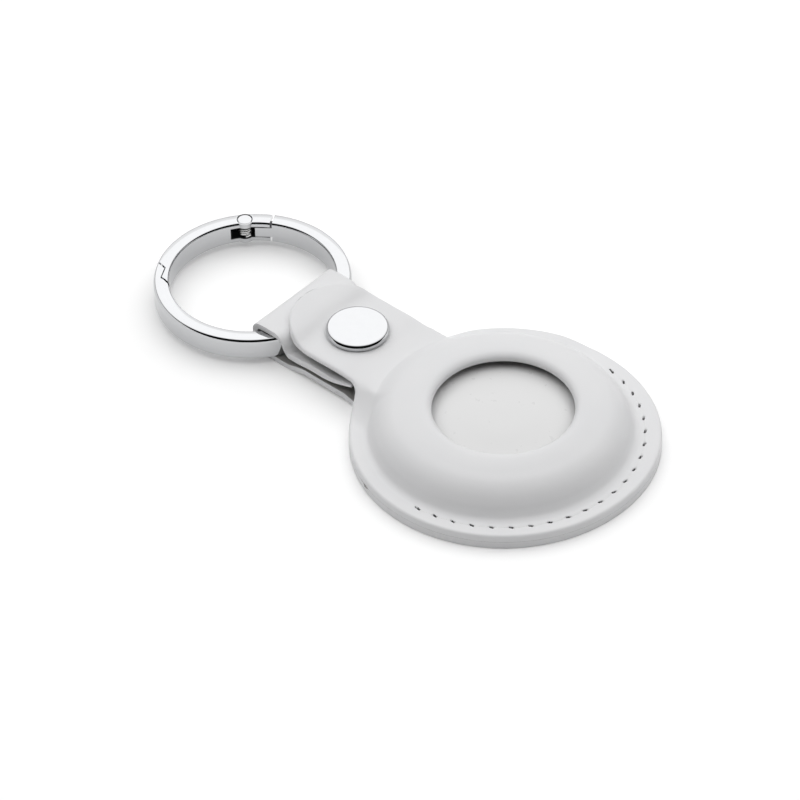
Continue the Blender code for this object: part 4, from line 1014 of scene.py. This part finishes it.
@dataclass
class BackLeather:
    """The flat back panel, whose strap runs on under the snap, folds round the ring and comes back."""

    finishes: Finishes
    front: FrontLeather
    thickness: float = 0.00114
    strap_thickness: float = 0.00092
    lift: float = 0.0006
    # The distance along -X where the strap starts to lift off the plane, and how far that takes
    lift_ramp: tuple = (0.0215, 0.0030)
    fold_inner_x: float = -0.04085
    # One corner of the fold, as shares of half its height: in from its outside, and away from the ply
    corner: tuple = ((0.6, 0.0), (0.24, 0.05), (0.05, 0.26), (0.0, 0.6))
    ring_edge_x: float = -0.034593
    ring_outer: float = 0.0149
    loop_bottom: float = 0.00467
    end_bottom: float = 0.0019
    end_rise: float = 0.00112
    end_x: float = -0.0222
    end_share: float = 0.35
    side_curl: float = 0.0004
    # The share of the ring's outer curve that the loop's front edge follows
    follow: float = 0.8
    # Rows over which the strap thins behind the disc and at its end, and points along its bends
    thin_rows: int = 14
    end_rows: int = 22
    bend_points: int = 150
    disc_rings: int = 24
    edge_round: float = 0.0003
    # How far past the disc's radius an edge still counts as its rim
    rim_play: float = 0.0004

    def route(self, y: float) -> np.ndarray:
        """Points along the middle of the strap's thickness at y, from the straight strap to the free end."""
        half = self.strap_thickness / 2
        drop = self.follow * (self.ring_outer - math.sqrt(self.ring_outer**2 - y * y))
        low, high = half, self.loop_bottom + half
        fold = self.fold_inner_x - half
        radius = (high - low) / 2
        edge = self.ring_edge_x - drop
        end = self.end_bottom + half
        curl = self.side_curl * (abs(y) / self.front.half_width) ** 3
        table = [(x, self.lift + half) for x in (-0.0242, -0.0262, -0.0290, -0.0318)]
        table += [(-0.0331, self.lift * 0.6 + half), (-0.0345, low), (-0.0375, low)]
        table += [(fold + radius * along, low + radius * away) for along, away in self.corner]
        table += [(fold + radius * along, high - radius * away) for along, away in reversed(self.corner)]
        table += [
            (-0.0372 - drop * 0.3, high), (edge - 0.0006, high - 0.00001),
            (edge + 0.0001, high - 0.00025), (edge + 0.0007, mix(high, end, 0.33)),
            (edge + 0.00115, mix(high, end, 0.72)), (edge + 0.0017, mix(high, end, 0.95) + curl / 3),
            (edge + 0.0028, end + curl / 2), (-0.0300 - drop / 4, end + curl), (-0.0262, end + curl),
            (self.end_x, end + self.end_rise + curl / 2),
        ]
        return smooth_curve(table, self.bend_points)

    def strap(self) -> tuple[np.ndarray, np.ndarray]:
        """Upper and lower faces of the strap, as grids of points from the disc's rim to the free end."""
        rows = self.front.tab_rows()[:self.front.neck_rows + 1]
        column = rows[-1][:, 1] / self.front.side_widths(rows[-1][:, 1])
        flat = np.stack(rows)
        flat[..., 2] = self.thickness / 2 + self.lift * ramp(-flat[..., 0], *self.lift_ramp)
        bends = np.stack([self.route(self.front.half_width * share) for share in column], axis=1)
        y = np.broadcast_to(self.front.side_widths(column) * column, bends.shape[:2])
        bends = np.stack([bends[..., 0], y, bends[..., 1]], axis=2)
        middle = np.concatenate([flat[:-1], bends])
        along = np.gradient(middle, axis=0)
        across = np.gradient(middle, axis=1)
        normal = np.cross(across, along)
        normal /= np.linalg.norm(normal, axis=2)[..., None]
        normal *= np.sign(normal[:, :, 2][0, len(column) // 2])
        half = np.full(middle.shape[0], self.strap_thickness / 2)
        half[:self.thin_rows] = np.linspace(self.thickness / 2, self.strap_thickness / 2, self.thin_rows)
        half[-self.end_rows:] *= np.linspace(1.0, self.end_share, self.end_rows)
        upper = middle + normal * half[:, None, None]
        lower = middle - normal * half[:, None, None]
        upper[0, :, 2], lower[0, :, 2] = self.thickness, 0.0
        upper[0, :, :2] = lower[0, :, :2] = middle[0, :, :2]
        return upper, lower

    def build(self) -> None:
        """Builds the leather, closed all round, in place of its solids."""
        upper, lower = self.strap()
        angles = self.front.disc_angles()
        neck = self.front.neck_columns
        rim_angles = np.concatenate([angles[neck:], angles[:1] + 2 * math.pi])
        levels = (self.thickness, 0.0)
        disc = self.front.disc_radius
        grids = [(self.disc(angles, level), True) for level in levels]
        grids += [(upper, False), (lower, False)]
        rim = [self.circle(disc, rim_angles, level) for level in levels]
        grids.append((np.stack(rim), False))
        grids += [(np.stack([upper[:, side], lower[:, side]]), False) for side in (0, -1)]
        grids.append((np.stack([upper[-1], lower[-1]]), False))
        # The grids of the disc's and the strap's upper faces show the flesh side, whose dark grey is partly
        # painted shade between the plies
        flesh_and_shade = (0, 2)
        points, faces, sorts = [], [], []
        start = 0
        for number, (grid, wrap) in enumerate(grids):
            added = grid_faces(start, *grid.shape[:2], wrap)
            points.append(grid.reshape(-1, 3))
            faces += added
            sorts += [int(number in flesh_and_shade)] * len(added)
            start += grid.shape[0] * grid.shape[1]
        made = object_of("back_leather", np.vstack(points), faces)
        paint(made, self.finishes.leather, self.finishes.flesh_and_shade)
        made.data.polygons.foreach_set("material_index", sorts)
        weld(made)
        round_edges(made, self.edge_round, self.edge_weight)
        smooth(made, LEATHER_SHADE)
        keep_rest_places(made)
        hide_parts("back_panel", "strap_loop", "strap_end")
        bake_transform(made)
        LOG.info("back leather: %d points", len(made.data.vertices))

    def circle(self, radius: float, angles: np.ndarray, level: float) -> np.ndarray:
        """Points round the disc's middle at one height."""
        radius = radius + self.front.swell(angles) * (radius / self.front.disc_radius) ** 6
        return ring_of(radius, angles, level)

    def disc(self, angles: np.ndarray, level: float) -> np.ndarray:
        """Rings of points from the disc's middle to its rim at one height."""
        radii = np.linspace(0, self.front.disc_radius, self.disc_rings)
        return np.stack([self.circle(radius, angles, level) for radius in radii])

    def edge_weight(self, middle: Vector, way: Vector) -> float:
        """How much of the full rounding a cut edge gets: none where the disc touches the front leather."""
        on_disc = math.hypot(middle.x, middle.y) < self.front.disc_radius + self.rim_play
        return 0.0 if on_disc and way.z > 0 else 1.0


@dataclass
class Seam:
    """The lockstitch seam: one thread on top and one underneath, meeting inside the leather."""

    finishes: Finishes
    front: FrontLeather
    thread: float = 0.00015
    sides: int = 12
    plies: int = 3
    lay: float = 0.0011
    skew: float = 0.00024
    stitch_points: int = 28
    # Share of the way from hole to hole, and of the rise from the hole's depth to the run
    dip_shares: tuple = (
        (0.0, 0.0), (0.08, 0.04), (0.125, 0.5), (0.17, 0.95), (0.3, 1.0), (0.5, 1.0), (0.7, 1.0),
        (0.83, 0.95), (0.875, 0.5), (0.92, 0.04),
    )

    def route(self, hole: float, run: float) -> np.ndarray:
        """Points along a thread that dips into each hole."""
        half_turn, stitches = self.front.half_turn, self.front.stitches
        far_turn = half_turn - self.front.far_short
        table = []
        for stitch in range(stitches):
            for along, rise in self.dip_shares:
                angle = mix(-half_turn, far_turn, (stitch + along) / stitches)
                radius = self.front.stitch_radius - self.skew * (along - 0.5) * rise
                table.append((radius * math.cos(angle), radius * math.sin(angle), mix(hole, run, rise)))
        radius = self.front.stitch_radius
        table.append((radius * math.cos(far_turn), radius * math.sin(far_turn), hole))
        return smooth_curve(table, stitches * self.stitch_points)

    def build(self) -> None:
        """Builds both threads on the holder's body."""
        # The piece, the solid it stands for, and its height in a hole and between two holes
        threads = (
            ("stitch_thread_top", "seam_thread_top", 0.00150, 0.00217),
            ("stitch_thread_under", "seam_thread_bobbin", 0.00080, 0.00018),
        )
        for name, node, hole, run in threads:
            made = tube(name, self.route(hole, run), self.thread, self.sides, self.plies, self.lay)
            made.data.shade_smooth()
            paint(made, self.finishes.thread)
            keep_rest_places(made)
            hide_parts(node)
            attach(made, "holder")
        LOG.info("seam: %d stitches", self.front.stitches)


@dataclass
class Snap:
    """The press snap: the cap that shows, and the parts under the tab."""

    finishes: Finishes
    x: float = -0.028293
    steps: int = 120
    curve_points: int = 90
    # Radius and height of the cap, from the middle of its face round to its underside
    cap: tuple = (
        (0.0, 0.00658), (0.0018, 0.006578), (0.0034, 0.00657), (0.0041, 0.006562), (0.00430, 0.006555),
        (0.00442, 0.00653), (0.00452, 0.00646), (0.00460, 0.00634), (0.00468, 0.0062), (0.00473, 0.0061),
        (0.00475, 0.00598), (0.00475, 0.0058), (0.00474, 0.00566), (0.00464, 0.00555), (0.00440, 0.00551),
        (0.0040, 0.0055),
    )
    shank: tuple = ((0.0013, 0.0055), (0.0013, 0.0038), (0.0, 0.0038))

    def build(self) -> None:
        """Builds the cap and dresses the hidden parts."""
        profile = np.vstack([smooth_curve(self.cap, self.curve_points), self.shank])
        made = lathe("snap_cap_polished", profile, self.steps, False)
        made.location.x = self.x
        smooth(made, TURNED_SHADE)
        paint(made, self.finishes.nickel)
        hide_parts("snap_cap")
        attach(made, "tab")
        for node in ("snap_socket", "snap_stud", "snap_post"):
            paint(frame["nodes"][node], self.finishes.nickel)
        paint(frame["nodes"]["socket_spring"], self.finishes.steel)
        LOG.info("snap: cap and four hidden parts")


@dataclass
class KeyRing:
    """The spring-gate ring: its fixed body, the gate, the pin and the spring."""

    finishes: Finishes
    inner: float = 0.0125
    outer: float = 0.0149
    height: float = 0.0036
    steps: int = 360
    # How far a tool reaches past the ring's faces and past its walls
    beyond: float = 0.001
    past_wall: float = 0.003
    region_steps: int = 24
    slit_angle: float = math.radians(120.0)
    slit: float = 0.00036
    gap: float = 0.0002
    pin_radial: float = 0.0135
    pin_angle: float = math.radians(137.7)
    pin_radius: float = 0.00055
    head_radius: float = 0.00112
    head_gap: float = 0.00012
    hole_depth: float = 0.0005
    # The head: its depth below the gate's top, its bevel's width and foot, and its underside
    head_profile: tuple = (0.00003, 0.0001, 0.00012, 0.00045)
    boss_radial: float = 0.01346
    boss_radius: float = 0.00131
    # How far the boss stays below the gate's top, and above its underside
    boss_inset: tuple = (0.00002, 0.00006)
    cheek: float = 0.0008
    skin: float = 0.0004
    room_radius: float = 0.0026
    # The tongue: its half width, its play, and where it ends before the pin
    tongue_half: float = 0.00085
    tongue_play: float = 0.00015
    tongue_end: float = 0.0016
    # Where the tongue starts: outward from the pin's radius, and back from the slit's angle
    tongue_start: tuple = (0.0003, 0.136)
    coil_turns: float = 3.5
    coil_steps: int = 20
    coil_pitch: float = 0.00045
    coil_radius: float = 0.00103
    coil_wire: float = 0.00018
    coil_sides: int = 12
    pin_steps: int = 64
    # The rough slot, painted dark as shade: how far it reaches past the slit and the pin, and how deep the
    # polished skin is
    slot_reach: tuple = (0.12, 0.26)
    slot_skin: float = 0.0001
    inside_share: float = 0.8
    # The rounding of the lower edges: up and in on the outside, and both ways on the inside
    lower_outside: tuple = (0.00045, 0.0004)
    lower_inside: float = 0.0003
    lower_steps: int = 8
    # The top edge's profile, from the flat top down: how far in from the wall, and how far down
    top_edge: tuple = (
        (0.00036, 0.0), (0.00030, 0.000012), (0.00025, 0.00004), (0.00021, 0.00009), (0.00017, 0.000155),
        (0.00008, 0.00033), (0.00005, 0.0004), (0.000025, 0.00048), (0.000008, 0.00058), (0.0, 0.0007),
    )
    # The latch's outline: shares of the way from the inner to the outer wall, and angles in degrees
    latch_shares: tuple = (1.2, 0.80, 0.36, 0.51, 0.29, -0.11, -0.2)
    latch_degrees: tuple = (207.6, 208.2, 212.1, 221.5, 223.7, 231.7, 232.4)

    def place(self) -> Matrix:
        """The ring's own frame, from the joint that it turns on."""
        joint = next(joint for joint in frame["joints"] if joint["name"] == "ring_spin")
        axis = Vector(joint["axis"]).normalized()
        turn = Vector((0, 0, 1)).rotation_difference(axis).to_matrix().to_4x4()
        return Matrix.Translation(joint["pos_m"]) @ turn

    def section(self) -> np.ndarray:
        """The ring's cross-section as a closed loop of radius and height."""
        half, share = self.height / 2, self.inside_share
        outside = [(self.outer - back, half - down) for back, down in self.top_edge]
        inside = [(self.inner + back * share, half - down * share) for back, down in self.top_edge]
        points = [*inside[::-1], *outside]
        up, back = self.lower_outside
        both = self.lower_inside
        for corner, start, stop in (
            ((self.outer, -half), (self.outer, up - half), (self.outer - back, -half)),
            ((self.inner, -half), (self.inner + both, -half), (self.inner, both - half)),
        ):
            for step in range(self.lower_steps + 1):
                t = step / self.lower_steps
                pairs = zip(start, corner, stop)
                points.append(tuple(a * (1 - t) ** 2 + b * 2 * t * (1 - t) + c * t * t for a, b, c in pairs))
        return np.array(points)

    def region(self, side: int) -> np.ndarray:
        """The gate's outline from above, moved out or in by half of its gaps.

        Args:
            side: 1 for the room that the gate takes up, -1 for the gate itself.

        Returns:
            Pairs of x and y.
        """
        shift = side * self.gap / 2
        far, near = self.outer + self.past_wall, self.inner - self.past_wall
        start = self.slit_angle - side * self.slit / 2 / self.pin_radial
        latch = [
            (mix(self.inner, self.outer, share) + shift, math.radians(degrees) + shift / self.inner)
            for share, degrees in zip(self.latch_shares, self.latch_degrees)
        ]
        steps = self.region_steps
        polar = [(near, start), (far, start)]
        polar += [(far, mix(start, latch[0][1], step / steps)) for step in range(1, steps + 1)]
        polar += latch
        polar += [(near, mix(latch[-1][1], start, step / steps)) for step in range(steps)]
        return np.array([(radius * math.cos(angle), radius * math.sin(angle)) for radius, angle in polar])

    def at_pin(self, radial: float) -> tuple[float, float]:
        """A point at a radius, on the line from the ring's middle through the pin."""
        return radial * math.cos(self.pin_angle), radial * math.sin(self.pin_angle)

    def cut_hinge(self, gate: bpy.types.Object) -> None:
        """Gives the gate its boss, the hole for the pin's head, and the slot for the spring and tongue."""
        half = self.height / 2
        slot_half = half - self.cheek
        pin = self.at_pin(self.pin_radial)
        top, bottom = self.boss_inset
        boss = post("boss", *self.at_pin(self.boss_radial), self.boss_radius, bottom - half, half - top)
        shape_with(gate, boss, Cut.JOIN)
        hole = self.head_radius + self.head_gap
        shape_with(gate, post("head_hole", *pin, hole, half - self.hole_depth, half + self.beyond), Cut.TAKE)
        room = post("spring_room", *pin, self.room_radius, -slot_half, slot_half)
        inside = self.outer - self.skin
        shape_with(room, post("inside_skin", 0, 0, inside, -half, half, self.steps), Cut.KEEP)
        shape_with(gate, room, Cut.TAKE)
        turn = Matrix.Rotation(self.pin_angle - math.pi / 2, 2)
        reach = self.pin_radial * (self.pin_angle - self.slit_angle) + self.beyond
        wall, back = inside - self.pin_radial, -self.past_wall
        corners = ((0, back), (reach, back), (reach, wall), (0, self.tongue_half))
        outline = np.array([tuple(turn @ Vector(corner) + Vector(pin)) for corner in corners])
        shape_with(gate, block("tongue_room", outline, -slot_half, slot_half), Cut.TAKE)

    def tongue(self) -> bpy.types.Object:
        """The body's tongue, which reaches into the gate's slot toward the pin."""
        outward, back = self.tongue_start
        start = Vector((self.pin_radial + outward, 0))
        start.rotate(Matrix.Rotation(self.slit_angle - back, 2))
        along = Vector(self.at_pin(self.pin_radial)) - start
        side = Vector((-along.y, along.x)).normalized() * self.tongue_half
        end = start + along * (1 - self.tongue_end / along.length)
        corners = (start + side, end + side, end - side, start - side)
        outline = np.array([tuple(corner) for corner in corners])
        top = self.height / 2 - self.cheek - self.tongue_play
        return block("tongue", outline, -top, top)

    def pin(self) -> bpy.types.Object:
        """The pin with its head, upright in the gate."""
        half, head, shank = self.height / 2, self.head_radius, self.pin_radius
        sunk, bevel, foot, under = self.head_profile
        profile = np.array([
            (0.0, half - sunk), (head - bevel, half - sunk), (head, half - foot), (head, half - under),
            (shank, half - under), (shank, -half), (0.0, -half),
        ])
        made = lathe("gate_pin_polished", profile, self.pin_steps, False)
        made.data.transform(Matrix.Translation((*self.at_pin(self.pin_radial), 0)))
        return made

    def build(self) -> None:
        """Builds the ring's parts on their bodies."""
        beyond = self.height / 2 + self.beyond
        body = lathe("ring_body_polished", self.section(), self.steps, True)
        shape_with(body, block("gate_room", self.region(1), -beyond, beyond), Cut.TAKE)
        gate = lathe("ring_gate_polished", self.section(), self.steps, True)
        shape_with(gate, block("gate_part", self.region(-1), -beyond, beyond), Cut.KEEP)
        self.cut_hinge(gate)
        shape_with(body, self.tongue(), Cut.JOIN)
        pin = self.pin()
        coil = tube("gate_coil_wire", self.coil(), self.coil_wire, self.coil_sides)
        dressed = (
            (body, "ring_body", "ring", self.finishes.nickel, "bright_nickel"),
            (gate, "ring_gate", "gate", self.finishes.nickel, "bright_nickel"),
            (pin, "gate_pin", "gate", self.finishes.nickel, "spring_steel"),
            (coil, "gate_spring", "gate", self.finishes.steel, "spring_steel"),
        )
        for made, node, rides, finish, slot in dressed:
            smooth(made, MILLED_SHADE)
            paint(made, finish, self.finishes.slot_metal_and_shade)
            # Faces in the hinge's slot are rough and painted dark: painted shade inside the slot
            for face in made.data.polygons:
                face.material_index = int(made in (body, gate) and self.in_slot(face.center))
            made.data.transform(self.place())
            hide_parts(node)
            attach(made, rides)
        LOG.info("key ring: body %d and gate %d points", len(body.data.vertices), len(gate.data.vertices))

    def in_slot(self, middle: Vector) -> bool:
        """Whether a face lies in the hinge's slot, which is rough and painted dark as shade."""
        angle = math.atan2(middle.y, middle.x)
        radius = math.hypot(middle.x, middle.y)
        beside = self.slit_angle - self.slot_reach[0] < angle < self.pin_angle + self.slot_reach[1]
        level = abs(middle.z) < self.height / 2 - self.cheek + WELD
        return beside and level and self.inner + self.slot_skin < radius < self.outer - self.slot_skin

    def coil(self) -> np.ndarray:
        """Points along the torsion spring round the pin."""
        pin_x, pin_y = self.at_pin(self.pin_radial)
        turns = np.arange(int(self.coil_turns * self.coil_steps) + 1) / self.coil_steps
        ring = ring_of(self.coil_radius, self.pin_angle + math.pi + 2 * math.pi * turns, 0.0)
        return ring + rows_of(pin_x, pin_y, self.coil_pitch * (turns - self.coil_turns / 2))


@dataclass
class Tag:
    """The coin-shaped tracker in the pocket."""

    finishes: Finishes
    radius: float = 0.01595
    bottom: float = 0.00115
    height: float = 0.0054
    wall: float = 0.0007
    steps: int = 144
    curve_points: int = 60
    # The shell's outside from its top, as shares of the tag's radius and height
    outside: tuple = (
        (0.0, 0.99), (0.33, 0.95), (0.627, 0.785), (0.82, 0.68), (0.915, 0.59), (0.975, 0.45),
        (1.0, 0.32), (1.0, 0.21),
    )

    def build(self) -> None:
        """Builds the smooth upper shell and dresses the parts inside."""
        table = [(share * self.radius, self.bottom + up * self.height) for share, up in self.outside]
        outer = smooth_curve(table, self.curve_points)
        outer[0, 0] = 0.0
        way = np.gradient(outer, axis=0)
        way /= np.linalg.norm(way, axis=1)[:, None]
        inner = outer + np.stack([way[:, 1], -way[:, 0]], axis=1) * self.wall
        inner[0, 0] = 0.0
        inner[-1, 1] = outer[-1, 1]
        made = lathe("tag_shell_moulded", np.vstack([outer, inner[::-1]]), self.steps, False)
        smooth(made, TURNED_SHADE)
        paint(made, self.finishes.plastic)
        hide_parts("tag_shell")
        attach(made, "tag")
        inside = {
            "tag_tray": self.finishes.plastic, "circuit_board": self.finishes.board,
            "speaker_magnet": self.finishes.steel, "speaker_coil": self.finishes.copper,
            "battery_contact": self.finishes.brass, "coin_cell": self.finishes.steel,
            "tag_cover": self.finishes.steel,
        }
        for node, finish in inside.items():
            paint(frame["nodes"][node], finish)
        LOG.info("tag: shell and %d inner parts", len(inside))


@dataclass
class Studio:
    """A pale floor, soft light and the camera at the photograph's angle."""

    camera_place: tuple = (0.351335, -0.409815, 0.488787)
    right: tuple = (0.74986, 0.66142, -0.01525)
    up: tuple = (-0.43124, 0.50613, 0.74690)
    lens: float = 225.0
    sensor: float = 36.0
    clip: tuple = (0.05, 50.0)
    # Radius and height of the floor and its backdrop
    cove: tuple = ((0.0, 0.0), (1.5, 0.0), (3.0, 0.0), (3.6, 0.01), (3.9, 0.1), (4.0, 0.25), (4.03, 0.42))
    cove_points: int = 40
    floor_steps: int = 96
    floor_drop: float = 0.0001
    floor_colour: float = 0.90
    floor_glow: float = 0.16
    lamp_place: tuple = (-0.38, 0.42, 0.72)
    lamp_power: float = 0.22
    lamp_size: float = 0.55
    dark: float = 0.02
    bright: float = 1.45
    sky_lift: float = 1.5
    # Where the sky turns from dark to bright: toward the back, and up from the horizon
    sky_edges: tuple = (0.18, 0.58)
    horizon_edges: tuple = (0.15, 0.62)

    def add_camera(self) -> None:
        """Makes the camera."""
        right, up = Vector(self.right).normalized(), Vector(self.up).normalized()
        back = right.cross(up)
        data = bpy.data.cameras.new("camera")
        data.lens = self.lens
        data.sensor_width = self.sensor
        data.clip_start, data.clip_end = self.clip
        camera = bpy.data.objects.new("camera", data)
        turn = Matrix((right, up, back)).transposed().to_4x4()
        camera.matrix_world = Matrix.Translation(self.camera_place) @ turn
        bpy.context.scene.collection.objects.link(camera)
        bpy.context.scene.camera = camera

    def add_floor(self) -> None:
        """Makes the floor and its low curved backdrop, which look white where nothing shades them."""
        floor = lathe("floor", smooth_curve(self.cove, self.cove_points), self.floor_steps, False)
        floor.location.z = -self.floor_drop
        floor.data.shade_smooth()
        material, graph = new_material("pale_floor")
        ray = graph.add("ShaderNodeLightPath").outputs
        seen = graph.math("ADD", ray["Is Camera Ray"], ray["Is Glossy Ray"])
        seen = graph.math("ADD", seen, ray["Is Transmission Ray"])
        glow = graph.math("MULTIPLY", seen, self.floor_glow)
        matt = graph.add("ShaderNodeBsdfDiffuse", {"Color": (self.floor_colour,) * 3 + (1,)})
        light = graph.add("ShaderNodeEmission", {"Color": (1, 1, 1, 1), "Strength": glow})
        both = graph.add("ShaderNodeAddShader", {0: matt.outputs[0], 1: light.outputs[0]})
        graph.add("ShaderNodeOutputMaterial", {"Surface": both.outputs[0]})
        paint(floor, material)

    def add_world(self) -> None:
        """Makes a studio that is white behind and above the object, and dark on the camera's side."""
        world = bpy.data.worlds.new("studio")
        world.use_nodes = True
        bpy.context.scene.world = world
        graph = Graph(world.node_tree)
        back = Vector((-self.camera_place[0], -self.camera_place[1], 0)).normalized()
        toward = (back + Vector((0, 0, self.sky_lift))).normalized()
        way = graph.add("ShaderNodeTexCoord").outputs["Generated"]
        facing = graph.add("ShaderNodeVectorMath", {0: way, 1: tuple(toward)}, operation="DOT_PRODUCT")
        behind = graph.rise(facing.outputs["Value"], self.sky_edges, self.dark, self.bright)
        height = graph.add("ShaderNodeSeparateXYZ", {"Vector": way}).outputs["Z"]
        above = graph.rise(height, self.horizon_edges, self.dark, 1.0)
        level = graph.math("MULTIPLY", behind, above)
        studio = graph.add("ShaderNodeBackground", {"Color": (1, 1, 1, 1), "Strength": level})
        graph.add("ShaderNodeOutputWorld", {"Surface": studio.outputs[0]})

    def add_lamp(self) -> None:
        """Makes the large soft lamp overhead."""
        data = bpy.data.lights.new("soft_lamp", "AREA")
        data.energy = self.lamp_power
        data.shape = "SQUARE"
        data.size = self.lamp_size
        lamp = bpy.data.objects.new("soft_lamp", data)
        lamp.location = self.lamp_place
        lamp.rotation_euler = (-Vector(self.lamp_place)).to_track_quat("-Z", "Y").to_euler()
        bpy.context.scene.collection.objects.link(lamp)

    def build(self) -> None:
        """Builds the stage, the light and the camera."""
        self.add_camera()
        self.add_floor()
        self.add_world()
        self.add_lamp()
        bpy.context.scene.view_settings.view_transform = "Standard"
        LOG.info("studio: camera, floor, world and lamp")


def main() -> None:
    """Builds the studio and every sub-assembly in order."""
    logging.basicConfig(level=logging.INFO, format="%(name)s: %(message)s")
    Studio().build()
    finishes = Finishes.build()
    front = FrontLeather(finishes)
    front.build()
    BackLeather(finishes, front).build()
    Seam(finishes, front).build()
    Snap(finishes).build()
    KeyRing(finishes).build()
    Tag(finishes).build()


if __name__ == "__main__":
    main()
